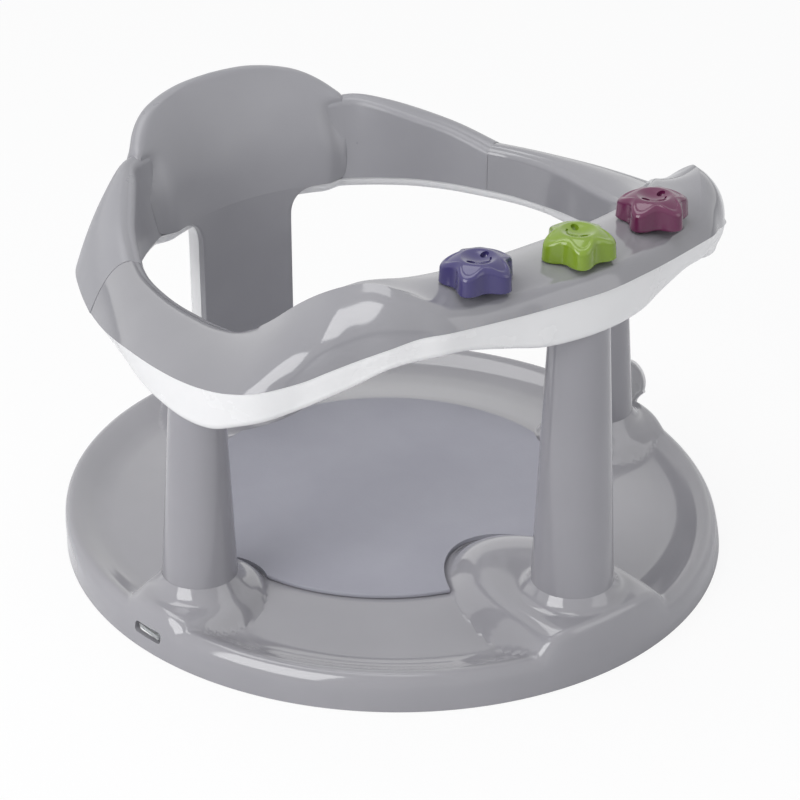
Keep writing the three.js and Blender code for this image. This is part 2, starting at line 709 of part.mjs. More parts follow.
// A post socket in the white shell: a tube round the post's top with a roof over it.
const posts = [
  {
    name: 'left_post', x: -sidePostX, y: sidePostY, low: sideMoundHeight,
    floor: sideFloor, top: sideFloor + sidePostSink,
    foot: sidePostFootRadius, tip: sidePostTopRadius, lean: [sidePostLean, 0],
  },
  {
    name: 'right_post', x: sidePostX, y: sidePostY, low: sideMoundHeight,
    floor: sideFloor, top: sideFloor + sidePostSink,
    foot: sidePostFootRadius, tip: sidePostTopRadius, lean: [-sidePostLean, 0],
  },
  {
    name: 'front_post', x: 0, y: frontPostY, low: frontMoundHeight,
    floor: frontFloor, top: frontFloor + frontPostSink,
    foot: frontPostFootRadius, tip: frontPostTopRadius, lean: [0, frontPostLean],
  },
];

// Leans an upright body with its post.
function leaned(body, post) {
  const [x, y] = post.lean.map((lean) => lean / (post.top - post.low));
  body.applyMatrix4(new THREE.Matrix4().set(
    1, 0, x, -x * post.low, 0, 1, y, -y * post.low, 0, 0, 1, 0, 0, 0, 0, 1));
  return solidOf(body);
}

function postRadius(post, height) {
  return blend(post.foot, post.tip, (height - post.low) / (post.top - post.low));
}

const postBores = [];
const underEnds = [lastFront - splitPlace, lastFront + splitPlace];
const underRun = (section) =>
  solidOf(loft(run(frontRun, ...underEnds, underSteps, (row) => section(underRow(row)))));
let underRing = underRun(underSection);
const underInside = underRun(underSpace);
posts.forEach((post) => {
  const bore = postRadius(post, post.floor) + fitGap;
  const roof = post.top + fitGap;
  const socket = drum(bore + socketWall, post.floor, roof + socketRoof, post.x, post.y, roundSides);
  const cavity = drum(bore, post.floor - cutOverrun, roof, post.x, post.y, roundSides);
  underRing = underRing.add(leaned(socket, post).intersect(underInside));
  postBores.push(leaned(cavity, post));
});
postBores.forEach((bore) => {
  underRing = underRing.subtract(bore);
});

posts.forEach((post) => {
  const low = post.low + fitGap;
  const { top } = post;
  let body = leaned(turned([
    [0, low], [postRadius(post, low) - footEase, low], [postRadius(post, low), low + footEase],
    [postRadius(post, top), top], [postRadius(post, top) - postWall, top],
    [postRadius(post, low) - postWall, low + postFloor], [0, low + postFloor],
  ], post.x, post.y), post);
  const mound = mounds.find((item) => item.x === post.x && item.y === post.y);
  footScrews(mound).forEach(([x, y]) => {
    const pilot = drum(screwRadius + fitGap, low - cutOverrun, low + postFloor - pilotRoof, x, y);
    body = body.subtract(solidOf(pilot));
  });
  addPiece(post.name, body, plastic(postGrey, 0.35));
});

// Screws of the feet, driven up through the base
mounds.forEach((mound, k) => {
  const owner = ['front_post', 'leg', 'left_post', 'right_post'][k];
  footScrews(mound).forEach(([x, y], i) => {
    const seat = moundUnder(mound) - fitGap;
    addPiece(`${owner}_screw_${i + 1}`, turned([
      [0, seat - screwHeadHeight], [screwHeadRadius, seat - screwHeadHeight], [screwHeadRadius, seat],
      [screwRadius, seat], [screwRadius, seat + screwLength], [0, seat + screwLength],
    ], x, y, screwSides), plastic(steel, 0.3, 0.9));
  });
});

// Ring screws: places along the tables, driven up through the white floor into bosses
const ringScrewPlaces = [
  { name: 'tray_screw', place: 3.2, rear: false },
  { name: 'arm_screw', place: 10.5, rear: false },
  { name: 'seam_screw', place: 17, rear: false },
  { name: 'rear_screw', place: 1.2, rear: true },
];

function ringMiddle(place, rear) {
  const row = smoothRow(rear ? rearRows : frontRows, place);
  const [ix, iy] = rear ? [row[2], row[3]] : [row[3], row[4]];
  const floor = rear ? rearSeamHeight - rearFloorDrop : row[12];
  return { x: (row[0] + ix) / 2, y: (row[1] + iy) / 2, floor, top: rear ? row[4] : row[8] };
}

const frontBosses = [];
const rearBosses = [];
const whiteHoles = [];
ringScrewPlaces.forEach(({ name, place, rear }) => {
  const middle = ringMiddle(place, rear);
  [-1, 1].forEach((side) => {
    const x = side * middle.x;
    const bossFoot = middle.floor + shellWall + bossLift;
    const pilotRadius = screwRadius + fitGap;
    const boss = solidOf(drum(ringBossRadius, bossFoot, middle.top - shellWall, x, middle.y))
      .subtract(solidOf(drum(pilotRadius, bossFoot - cutOverrun, bossFoot + pilotDepth, x, middle.y)));
    (rear ? rearBosses : frontBosses).push(boss);
    const holeRadius = screwRadius + runningGap;
    const hole = drum(holeRadius, middle.floor - cutOverrun, bossFoot + cutOverrun, x, middle.y);
    const recessLow = middle.floor - 2 * cutOverrun;
    const recess = drum(screwHeadRadius + runningGap, recessLow, middle.floor + headSink, x, middle.y);
    whiteHoles.push(solidOf(hole).add(solidOf(recess)));
    const seat = middle.floor + headSink - fitGap;
    addPiece(`${side < 0 ? 'left' : 'right'}_${name}`, turned([
      [0, seat - screwHeadHeight], [screwHeadRadius, seat - screwHeadHeight], [screwHeadRadius, seat],
      [screwRadius, seat], [screwRadius, seat + screwLength], [0, seat + screwLength],
    ], x, middle.y, screwSides), plastic(steel, 0.3, 0.9));
  });
});
whiteHoles.forEach((hole) => {
  underRing = underRing.subtract(hole);
});
addPiece('front_under_shell', underRing, plastic(white, 0.35));

// Front cover: tray, wings and front arms in one moulding
const stars = [
  { name: 'purple', colour: purple, x: -0.333, y: -0.822, turn: 282 },
  { name: 'green', colour: green, x: 0, y: -0.865, turn: 164 },
  { name: 'magenta', colour: magenta, x: 0.333, y: -0.822, turn: 271 },
];
const coverEnds = [0, frontRun.length - 1];
let frontCover = solidOf(loft(run(frontRun, ...coverEnds, coverSteps, coverSection)));
const coverInside = solidOf(loft(run(frontRun, ...coverEnds, coverSteps, coverSpace)));
frontBosses.forEach((boss) => {
  frontCover = frontCover.add(boss.intersect(coverInside));
});
stars.forEach(({ x, y }) => {
  const low = trayHeight - clipDrop + runningGap;
  const place = [x * ringHalfWidth, y * ringReach];
  const bearing = solidOf(drum(clipRadius + bearingRim, low, trayHeight + cutOverrun, ...place, roundSides));
  const boreRadius = spindleRadius + runningGap;
  const bore = drum(boreRadius, low - cutOverrun, trayHeight + cutOverrun, ...place, roundSides);
  frontCover = frontCover.add(bearing.intersect(coverInside)).subtract(solidOf(bore));
});
addPiece('front_cover', frontCover, plastic(midGrey, 0.4));

// Where the front of the leg and panel lies at a place across it and a height
function panelFace(x, height) {
  const rise = Math.max(0, (height - rearSeamHeight) / (trayHeight - rearSeamHeight));
  const side = Math.min(1, (x / panelHalfWidth) ** 2);
  const middleLean = panelLean * rise + panelCurl * rise ** 2;
  const bow = panelBow * (x / panelHalfWidth) ** 2;
  return panelFrontY - bow + blend(middleLean, panelEdgeLean * rise ** 2, side);
}

// A loop across the leg or panel, from a front to a back distance, bowed with the panel; a soft one
// is drawn thinner towards its two ends.
function bowedLoop(halfWidth, front, back, height, soft = false) {
  const across = [...loopShares.slice(1).reverse().map((share) => -share), ...loopShares];
  const middleDepth = (front + back) / 2;
  const edge = (way) => across.map((share) => {
    const x = share * halfWidth;
    const thin = soft ? loopThickness[loopShares.indexOf(Math.abs(share))] : 1;
    const depth = middleDepth + way * thin * (back - front) / 2;
    return new THREE.Vector3(x, panelFace(x, height) + depth, height);
  });
  return [...edge(-1), ...edge(1).reverse()];
}

const panelRows = panelShares.map(([height, half]) => [height * trayHeight, half * ringHalfWidth]);
const legFoot = backMoundHeight + fitGap;

function legSolid() {
  const outer = [bowedLoop(legHalfWidth, 0, panelThickness, legFoot)];
  const innerBack = panelThickness - shellWall;
  const inner = [bowedLoop(legHalfWidth - shellWall, shellWall, innerBack, legFoot + legFloor)];
  panelRows.forEach(([height, half]) => {
    outer.push(bowedLoop(half, 0, panelThickness, height, height > rearSeamHeight - legFlareDrop));
  });
  panelRows.filter(([height]) => height < rearPanelTop - 2 * shellWall).forEach(([height, half]) => {
    const room = height < rearSeamHeight ? half - shellWall : rearPanelHalfWidth - shellWall;
    inner.push(bowedLoop(room, shellWall, innerBack, height));
  });
  return solidOf(loft(outer)).subtract(solidOf(loft(inner)));
}

// The space behind the grey skin that the white rear shell takes
function rearSpace(grow) {
  const legSpace = panelHalfWidth + 2 * cutOverrun;
  const rows = [
    [legFoot - cutOverrun, legSpace], [rearSeamHeight - seamGap, legSpace],
    [rearSeamHeight, rearPanelHalfWidth], [rearPanelShoulder, rearPanelHalfWidth],
    [rearPanelTop, rearPanelTopHalfWidth],
  ];
  return solidOf(loft(rows.map(([height, half], k) => {
    const rise = k === rows.length - 1 ? grow : 0;
    const skinDepth = height < rearSeamHeight ? frontSkin : panelSkin;
    return bowedLoop(half + grow, skinDepth - grow, 3 * panelThickness, height + rise);
  })));
}

// The space of the leg's grey skin, which the shells under the rear arms stop at
const skinSpace = solidOf(loft([rearSeamHeight - legFlareDrop, rearSeamHeight + cutOverrun].map((height) =>
  bowedLoop(legFlareHalfWidth + fitGap, -panelThickness, frontSkin, height))));

const rearEnds = [0, rearRun.length - 1];
const rearLoft = solidOf(loft(run(rearRun, ...rearEnds, rearSteps, rearSection)));
const rearWhole = rearLoft.add(legSolid());
let backrest = rearWhole.subtract(rearSpace(fitGap));
const rearInside = solidOf(loft(run(rearRun, ...rearEnds, rearSteps, rearSpan)));
rearBosses.forEach((boss) => {
  backrest = backrest.add(boss.intersect(rearInside));
});
let rearShell = rearWhole.intersect(rearSpace(0));

// White shells under the rear arms, from the front shell's end to the leg's flare
const rearFloor = rearSeamHeight - rearFloorDrop;
const rearDraft = trayHeight * 0.013;
const joinRows = [];
for (let place = splitPlace + joinStart; place < lastFront; place += joinStep) {
  joinRows.push(underRow(smoothRow(frontRows, place)));
}
for (let place = joinStart; place <= joinEnd; place += joinStep) {
  const row = smoothRow(rearRows, place);
  const innerY = Math.min(row[3], panelFace(row[2], rearSeamHeight) + seamStep);
  joinRows.push([row[0], row[1], rearSeamHeight, row[2], innerY, rearSeamHeight, rearFloor, rearDraft]);
}
[-1, 1].forEach((side) => {
  const rows = joinRows.map((row) => (side < 0 ? mirrorRow(row, [0, 3]) : row));
  const armShell = solidOf(loft(rows.map(underSection)));
  rearShell = rearShell.add(armShell.subtract(skinSpace));
});
whiteHoles.forEach((hole) => {
  rearShell = rearShell.subtract(hole);
});
const legMound = mounds[1];
footScrews(legMound).forEach(([x, y]) => {
  const pilot = drum(screwRadius + fitGap, legFoot - cutOverrun, legFoot + legFloor - pilotRoof, x, y);
  rearShell = rearShell.subtract(solidOf(pilot));
});
addPiece('backrest', mainBody(backrest), plastic(midGrey, 0.4));
addPiece('rear_shell', mainBody(rearShell), plastic(white, 0.35));

// A five-pointed star with rounded tips, as an outline round its middle
function starShape(turn) {
  const shape = new THREE.Shape();
  const steps = 30;
  for (let k = 0; k < steps; k += 1) {
    const angle = 2 * Math.PI * k / steps;
    const wave = 0.5 + 0.5 * Math.cos(starPoints * angle);
    const radius = blend(starValley, starTip, wave) - starBevel;
    const point = [radius * Math.cos(angle + turn), radius * Math.sin(angle + turn)];
    if (k === 0) shape.moveTo(...point);
    else shape.lineTo(...point);
  }
  shape.closePath();
  return shape;
}

stars.forEach(({ name, colour, x, y, turn }) => {
  const place = [x * ringHalfWidth, y * ringReach];
  const low = trayHeight + starLift;
  const chin = turn * Math.PI / 180;
  const outline = starShape(chin);
  const extruded = new THREE.ExtrudeGeometry(outline, {
    depth: starHeight - 2 * starBevel, steps: 1,
    bevelEnabled: true, bevelThickness: starBevel, bevelSize: starBevel, bevelSegments: starBevelSteps,
  });
  extruded.translate(place[0], place[1], low + starBevel);
  let star = solidOf(extruded);
  const top = low + starHeight;
  star = star.subtract(solidOf(drum(spindleRadius + fitGap, low - cutOverrun, low + spindleSink + fitGap,
    ...place, roundSides)));
  [-1, 1].forEach((side) => {
    const eyeX = place[0] - side * eyeSpread * Math.sin(chin) - eyeRise * Math.cos(chin);
    const eyeY = place[1] + side * eyeSpread * Math.cos(chin) - eyeRise * Math.sin(chin);
    star = star.subtract(solidOf(drum(eyeRadius, top - starDish, top + cutOverrun, eyeX, eyeY)));
  });
  const smile = new THREE.Shape();
  const smileEnds = [chin - smileSweep, chin + smileSweep];
  smile.absarc(0, 0, smileRadius + smileWidth / 2, ...smileEnds, false);
  smile.absarc(0, 0, smileRadius - smileWidth / 2, ...[...smileEnds].reverse(), true);
  smile.closePath();
  const slot = new THREE.ExtrudeGeometry(smile, {
    depth: starDish + cutOverrun, bevelEnabled: false, curveSegments: smileSteps,
  });
  slot.translate(place[0], place[1], top - starDish);
  star = star.subtract(solidOf(slot));
  addPiece(`${name}_star`, star, plastic(colour, 0.3));
  const tail = trayHeight - spindleTail;
  const spindle = drum(spindleRadius, tail, low + spindleSink, ...place, roundSides);
  addPiece(`${name}_star_spindle`, spindle, plastic(white, 0.4));
  const clipTop = trayHeight - clipDrop;
  addPiece(`${name}_star_clip`, turned([
    [spindleRadius + fitGap, clipTop - clipThickness], [clipRadius, clipTop - clipThickness],
    [clipRadius, clipTop], [spindleRadius + fitGap, clipTop],
    [spindleRadius + fitGap, clipTop - clipThickness],
  ], ...place), plastic(white, 0.4));
});

// Suction cups: a bell on a stem that stands in the mound's boss; the side ones have a tongue
const cupNames = ['front_suction_cup', 'back_suction_cup', 'left_suction_cup', 'right_suction_cup'];
const hingeX = sideWallX + hingeReach;

function tongue(side, tipX) {
  const shape = new THREE.Shape();
  const root = sidePostX + cupRadius * 0.7;
  const level = windowMiddle - tongueThickness / 2;
  shape.moveTo(root, cupHeight * 0.32);
  shape.lineTo(sideWallX - 3 * baseWall, level);
  shape.lineTo(tipX, level);
  shape.lineTo(tipX, level + tongueThickness);
  shape.lineTo(sideWallX - 3.4 * baseWall, level + tongueThickness);
  shape.lineTo(root - tongueThickness, cupHeight * 0.42);
  shape.closePath();
  const body = new THREE.ExtrudeGeometry(shape, { depth: tongueWidth, bevelEnabled: false });
  body.rotateX(Math.PI / 2);
  body.translate(0, (side < 0 ? leftWindowY : rightWindowY) + tongueWidth / 2, 0);
  if (side < 0) body.scale(-1, 1, 1);
  return solidOf(body);
}

// A short round bar along Y
function crossBar(radius, x, low, high, z) {
  const body = new THREE.CylinderGeometry(radius, radius, high - low, boreSides);
  body.translate(x, (low + high) / 2, z);
  return solidOf(body);
}

mounds.forEach((mound, k) => {
  let cup = solidOf(turned([
    [0, cupHeight * 0.5], [cupRadius * 0.4, cupHeight * 0.42], [cupRadius * 0.75, cupHeight * 0.2],
    [cupRadius - cupLip, 0], [cupRadius, 0], [cupRadius, cupLip], [cupRadius * 0.8, cupHeight * 0.4],
    [cupRadius * 0.48, cupHeight * 0.8], [stemRadius + 2 * cupLip, cupHeight],
    [stemRadius, cupHeight + 2 * cupLip], [stemRadius, moundUnder(mound) - runningGap],
    [0, moundUnder(mound) - runningGap],
  ], mound.x, mound.y, cupSides));
  if (mound.x < 0) cup = cup.add(tongue(-1, sideWallX - baseWall / 2));
  if (mound.x > 0) {
    cup = cup.add(tongue(1, hingeX - barrelRadius - fitGap));
    [-1, 1].forEach((side) => {
      const inner = rightWindowY + side * (tongueWidth / 2 - earWidth);
      const outer = rightWindowY + side * tongueWidth / 2;
      const [low, high] = [Math.min(inner, outer), Math.max(inner, outer)];
      const earRoot = [hingeX - barrelRadius - 2 * cutOverrun, low, windowMiddle - tongueThickness / 2];
      const earEnd = [hingeX, high, windowMiddle + tongueThickness / 2];
      const ear = crossBar(barrelRadius, hingeX, low, high, windowMiddle)
        .add(solidOf(block(earRoot, earEnd)));
      const pinBore = [pinRadius + fitGap, hingeX, low - cutOverrun, high + cutOverrun, windowMiddle];
      cup = cup.add(ear).subtract(crossBar(...pinBore));
    });
  }
  addPiece(cupNames[k], cup, plastic(cupClear, 0.25));
});

// Release tab: a barrel with a pin through both ears, and a paddle that stands up from it
const barrelHalf = tongueWidth / 2 - earWidth - fitGap;
const tabOutline = new THREE.Shape();
const tabRound = tabWidth / 2;
tabOutline.moveTo(-tabNeckWidth / 2, 0);
tabOutline.lineTo(tabNeckWidth / 2, 0);
tabOutline.lineTo(tabNeckWidth / 2, tabNeckLength);
tabOutline.lineTo(tabRound, tabNeckLength + tabThickness);
tabOutline.lineTo(tabRound, tabLength - tabRound);
tabOutline.absarc(0, tabLength - tabRound, tabRound, 0, Math.PI, false);
tabOutline.lineTo(-tabRound, tabNeckLength + tabThickness);
tabOutline.lineTo(-tabNeckWidth / 2, tabNeckLength);
tabOutline.closePath();
const paddle = new THREE.ExtrudeGeometry(tabOutline, {
  depth: tabThickness, bevelEnabled: false, curveSegments: boreSides,
});
paddle.rotateX(Math.PI / 2);
paddle.rotateZ(Math.PI / 2);
paddle.translate(hingeX - tabThickness / 2, rightWindowY, windowMiddle);
const pinHalf = tongueWidth / 2;
const releaseTab = solidOf(paddle)
  .add(crossBar(barrelRadius, hingeX, rightWindowY - barrelHalf, rightWindowY + barrelHalf, windowMiddle))
  .add(crossBar(pinRadius, hingeX, rightWindowY - pinHalf, rightWindowY + pinHalf, windowMiddle));
addPiece('right_release_tab', releaseTab, plastic(white, 0.35));

// The whole moves so that the origin lies under its middle.
const middle = new THREE.Box3().setFromObject(assembly).getCenter(new THREE.Vector3());
assembly.children.forEach((mesh) => mesh.geometry.translate(-middle.x, -middle.y, 0));

export default assembly;
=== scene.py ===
import math

import bmesh
import bpy
import numpy as np
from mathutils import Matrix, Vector


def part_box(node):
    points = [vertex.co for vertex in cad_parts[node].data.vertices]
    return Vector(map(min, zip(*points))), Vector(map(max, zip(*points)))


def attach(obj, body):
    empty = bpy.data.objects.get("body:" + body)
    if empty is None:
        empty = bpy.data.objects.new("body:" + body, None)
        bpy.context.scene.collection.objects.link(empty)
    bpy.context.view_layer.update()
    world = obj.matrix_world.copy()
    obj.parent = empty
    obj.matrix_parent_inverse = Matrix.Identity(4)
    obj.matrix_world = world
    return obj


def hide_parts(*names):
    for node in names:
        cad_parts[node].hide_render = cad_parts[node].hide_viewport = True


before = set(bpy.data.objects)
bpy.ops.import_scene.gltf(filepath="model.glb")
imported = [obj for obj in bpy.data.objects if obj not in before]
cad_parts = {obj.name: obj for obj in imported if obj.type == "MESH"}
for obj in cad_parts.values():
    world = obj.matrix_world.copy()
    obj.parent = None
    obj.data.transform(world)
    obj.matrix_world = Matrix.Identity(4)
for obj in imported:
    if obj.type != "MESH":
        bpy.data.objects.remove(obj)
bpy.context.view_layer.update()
scene = bpy.context.scene
print("frame loaded:", len(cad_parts), "nodes")


def added(name, data):
    thing = bpy.data.objects.new(name, data)
    scene.collection.objects.link(thing)
    return thing


# The tables below are in millimetres from the middle of the base's circle
dishLow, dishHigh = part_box("base_dish")
baseFront = 192.5
seatMiddle = np.array([(dishLow.x + dishHigh.x) / 2, dishLow.y + baseFront / 1000, 0.0])

# Camera
cameraLook = {"lens": 117, "place": (-0.8201, -1.0291, 0.8004), "turn": (61.406, 0.0, -38.71)}
cameraData = bpy.data.cameras.new("camera")
cameraData.lens = cameraLook["lens"]
cameraData.sensor_width = 36
cameraData.clip_end = 20
camera = added("camera", cameraData)
camera.location = np.array(cameraLook["place"]) + seatMiddle
camera.rotation_euler = [math.radians(angle) for angle in cameraLook["turn"]]
scene.camera = camera


def nodeOf(tree, kind, **values):
    node = tree.nodes.new(kind)
    for key, value in values.items():
        setattr(node, key, value)
    return node


def link(tree, source, output, target, entry):
    tree.links.new(source.outputs[output], target.inputs[entry])


def fill(node, values):
    for name, value in values.items():
        node.inputs[name].default_value = value


# A math node; each value is a number or (node, output)
def mathOf(tree, kind, operation, *values):
    node = nodeOf(tree, "Shader" + kind, operation=operation)
    for k, value in enumerate(values):
        if isinstance(value, tuple):
            link(tree, *value, node, k)
        else:
            node.inputs[k].default_value = value
    return node


# Sends two shaders, mixed by a factor, to the output; each is given as (node, output)
def blendTo(tree, kind, factor, first, second):
    blend = nodeOf(tree, "ShaderNodeMixShader")
    for k, source in enumerate((factor, first, second)):
        link(tree, *source, blend, k)
    link(tree, blend, "Shader", nodeOf(tree, kind), "Surface")


# Moulded plastic: a faint cloud in the colour, uneven gloss and the fine skin of a mould
plastic = {"cloudScale": 14, "cloudDetail": 3, "cloudEdges": (0.35, 0.65), "wearScale": 45, "wearDetail": 5,
           "skinScale": 900, "skinDetail": 2, "skinStrength": 0.04, "skinDepth": 0.0002,
           "metallic": 0, "ior": 1.49, "coat": 0, "coatRoughness": 0.08, "clear": 0}


def mouldedPlastic(name, look):
    look = {**plastic, **look}
    material = bpy.data.materials.new(name)
    material.use_nodes = True
    tree = material.node_tree
    shader = tree.nodes["Principled BSDF"]
    place = nodeOf(tree, "ShaderNodeTexCoord")
    cloud, wear, skin = (nodeOf(tree, "ShaderNodeTexNoise") for _ in range(3))
    for noise, kind in ((cloud, "cloud"), (wear, "wear"), (skin, "skin")):
        fill(noise, {"Scale": look[kind + "Scale"], "Detail": look[kind + "Detail"]})
        link(tree, place, "Object", noise, "Vector")
    ramp = nodeOf(tree, "ShaderNodeValToRGB")
    for element, edge, colour in zip(ramp.color_ramp.elements, look["cloudEdges"], look["colours"]):
        element.position = edge
        element.color = (*colour, 1)
    link(tree, cloud, "Fac", ramp, "Fac")
    link(tree, ramp, "Color", shader, "Base Color")
    gloss = nodeOf(tree, "ShaderNodeMapRange")
    fill(gloss, {"To Min": look["roughness"][0], "To Max": look["roughness"][1]})
    link(tree, wear, "Fac", gloss, "Value")
    link(tree, gloss, "Result", shader, "Roughness")
    bump = nodeOf(tree, "ShaderNodeBump")
    fill(bump, {"Strength": look["skinStrength"], "Distance": look["skinDepth"]})
    link(tree, skin, "Fac", bump, "Height")
    link(tree, bump, "Normal", shader, "Normal")
    fill(shader, {"Metallic": look["metallic"], "IOR": look["ior"], "Coat Weight": look["coat"],
                  "Coat Roughness": look["coatRoughness"], "Transmission Weight": look["clear"]})
    return material


starGloss = {"roughness": (0.12, 0.2), "coat": 0.3}
finishes = {
    "base": {"colours": ((0.305, 0.301, 0.324), (0.325, 0.32, 0.344)),
             "roughness": (0.06, 0.12), "coat": 0.6},
    "cover": {"colours": ((0.262, 0.26, 0.28), (0.282, 0.28, 0.3)), "roughness": (0.09, 0.15), "coat": 0.6},
    "backrest": {"colours": ((0.3, 0.298, 0.32), (0.322, 0.32, 0.342)), "roughness": (0.24, 0.36)},
    "post": {"colours": ((0.29, 0.286, 0.31), (0.31, 0.305, 0.33)), "roughness": (0.08, 0.14), "coat": 0.4},
    "shell": {"colours": ((0.83, 0.83, 0.835), (0.855, 0.855, 0.86)), "roughness": (0.2, 0.32)},
    "pad": {"colours": ((0.32, 0.32, 0.367), (0.35, 0.35, 0.397)), "roughness": (0.6, 0.78),
            "skinScale": 420, "skinStrength": 0.25, "skinDepth": 0.0004},
    "cup": {"colours": ((0.70, 0.72, 0.73), (0.76, 0.78, 0.79)), "roughness": (0.2, 0.34), "clear": 0.55,
            "ior": 1.43},
    "screw": {"colours": ((0.45, 0.45, 0.46), (0.55, 0.55, 0.56)), "roughness": (0.22, 0.4), "metallic": 1},
    "purple": {"colours": ((0.042, 0.034, 0.135), (0.052, 0.042, 0.16)), **starGloss},
    "green": {"colours": ((0.175, 0.275, 0.014), (0.205, 0.315, 0.02)), **starGloss},
    "magenta": {"colours": ((0.12, 0.012, 0.062), (0.15, 0.017, 0.08)), **starGloss},
    "pin": {"colours": ((0.72, 0.72, 0.74), (0.78, 0.78, 0.80)), "roughness": (0.25, 0.38)},
}
finish = {name: mouldedPlastic(name + "Finish", look) for name, look in finishes.items()}


# Helpers for the seat's moulded shapes; a cutter names no finish
def solid(name, points, faces, material=finish["pin"], sharp=32):
    mesh = bpy.data.meshes.new(name)
    places = np.asarray(points, float) / 1000 + seatMiddle
    mesh.from_pydata(places.tolist(), [], faces)
    mesh.validate()
    work = bmesh.new()
    work.from_mesh(mesh)
    bmesh.ops.remove_doubles(work, verts=work.verts, dist=1e-6)
    bmesh.ops.dissolve_degenerate(work, dist=1e-7, edges=work.edges)
    bmesh.ops.recalc_face_normals(work, faces=work.faces)
    work.to_mesh(mesh)
    work.free()
    piece = added(name, mesh)
    mesh.materials.append(material)
    smoothPiece(piece, sharp)
    return piece


def smoothPiece(piece, sharp=32):
    mesh = piece.data
    mesh.shade_smooth()
    mesh.set_sharp_from_angle(angle=math.radians(sharp))


# Joins other pieces to one, or cuts them out of it, and keeps the result as a plain mesh
def moulded(piece, others, how, sharp=32):
    for other in others:
        step = piece.modifiers.new("step", "BOOLEAN")
        step.operation = how
        step.solver = "MANIFOLD"
        step.object = other
    graph = bpy.context.evaluated_depsgraph_get()
    mesh = bpy.data.meshes.new_from_object(piece.evaluated_get(graph))
    piece.modifiers.clear()
    material = piece.data.materials[0]
    piece.data = mesh
    mesh.materials.clear()
    mesh.materials.append(material)
    mesh.polygons.foreach_set("material_index", [0] * len(mesh.polygons))
    for other in others:
        bpy.data.objects.remove(other)
    smoothPiece(piece, sharp)
    return piece


# A smooth row between the rows of a table
def smoothRow(rows, place):
    rows = np.asarray(rows, float)
    at = min(int(place), len(rows) - 2)
    share = place - at
    before, start, end, after = (rows[min(max(k, 0), len(rows) - 1)] for k in range(at - 1, at + 3))
    slopeIn = (end - before) / 2
    slopeOut = (after - start) / 2
    bend = 3 * (end - start) - 2 * slopeIn - slopeOut
    twist = 2 * (start - end) + slopeIn + slopeOut
    return start + slopeIn * share + bend * share ** 2 + twist * share ** 3


def alongRows(rows, steps, start=0, end=None):
    end = len(rows) - 1 if end is None else end
    count = max(round((end - start) * steps), 1)
    return [smoothRow(rows, start + (end - start) * k / count) for k in range(count + 1)]


# Closed loops of equal length into a body; its ends are closed across each loop
def loopBody(loops):
    loops = np.asarray(loops, float)
    many, count = loops.shape[:2]
    faces = []
    for k in range(many - 1):
        for i in range(count):
            j = (i + 1) % count
            faces.append((k * count + i, k * count + j, (k + 1) * count + j, (k + 1) * count + i))
    for start, turned in ((0, True), ((many - 1) * count, False)):
        for i in range(count // 2 - 1):
            face = (start + i, start + i + 1, start + count - 2 - i, start + count - 1 - i)
            faces.append(face[::-1] if turned else face)
    return loops.reshape(-1, 3), faces


# Rings of equal length, one over the other, closed by a point at both ends
def ringBody(rings, lowTip, highTip):
    count = len(rings[0])
    points = np.vstack([[lowTip], *rings, [highTip]])
    faces = []
    for i in range(count):
        j = (i + 1) % count
        faces.append((0, 1 + i, 1 + j))
        for k in range(len(rings) - 1):
            start = 1 + k * count
            faces.append((start + i, start + count + i, start + count + j, start + j))
        start = 1 + (len(rings) - 1) * count
        faces.append((start + i, len(points) - 1, start + j))
    return points, faces


# A profile turned about an upright line; it starts and ends on that line
def turnedBody(profile, x=0.0, y=0.0, sides=96):
    angle = np.arange(sides) * 2 * math.pi / sides
    rings = [np.column_stack([x + radius * np.cos(angle), y + radius * np.sin(angle), np.full(sides, height)])
             for radius, height in profile[1:-1]]
    return ringBody(rings, (x, y, profile[0][1]), (x, y, profile[-1][1]))


def drum(name, radius, low, high, x, y, sides=48):
    profile = [(0, low), (radius, low), (radius, high), (0, high)]
    return solid(name, *turnedBody(profile, x, y, sides))


# A block with rounded edges, as a cutter for windows
def roundedBlock(name, low, high, bevel):
    corners = [[(low, high)[(k >> j) & 1][j] for j in range(3)] for k in range(8)]
    faces = [(0, 2, 3, 1), (4, 5, 7, 6), (0, 1, 5, 4), (2, 6, 7, 3), (0, 4, 6, 2), (1, 3, 7, 5)]
    block = solid(name, corners, faces)
    step = block.modifiers.new("round", "BEVEL")
    step.width = bevel / 1000
    step.segments = 4
    return moulded(block, [], "UNION")


# Moves the points of a line inwards by the wall, closes it into a thin loop and stands it across the ring
def shellLoop(line, outer, inner):
    line = np.asarray(line, float)
    wall = ring["wall"]
    run = np.empty_like(line)
    run[1:-1] = line[2:] - line[:-2]
    run[0] = line[1] - line[0]
    run[-1] = line[-1] - line[-2]
    run /= np.linalg.norm(run, axis=1)[:, None]
    inside = line + np.stack([run[:, 1], -run[:, 0]], axis=1) * wall
    inside[0] = (line[0][0] + math.copysign(wall, inside[0][0] - line[0][0]), line[0][1])
    inside[-1] = (line[-1][0] + math.copysign(wall, inside[-1][0] - line[-1][0]), line[-1][1])
    loop = np.vstack([line, inside[::-1]])
    across = np.subtract(inner, outer) / math.dist(inner, outer)
    return np.column_stack([outer + loop[:, :1] * across, loop[:, 1]])


def easeStep(low, high, value):
    share = np.clip((value - low) / (high - low), 0, 1)
    return share * share * (3 - 2 * share)


def mixed(a, b, share):
    return a + (b - a) * share


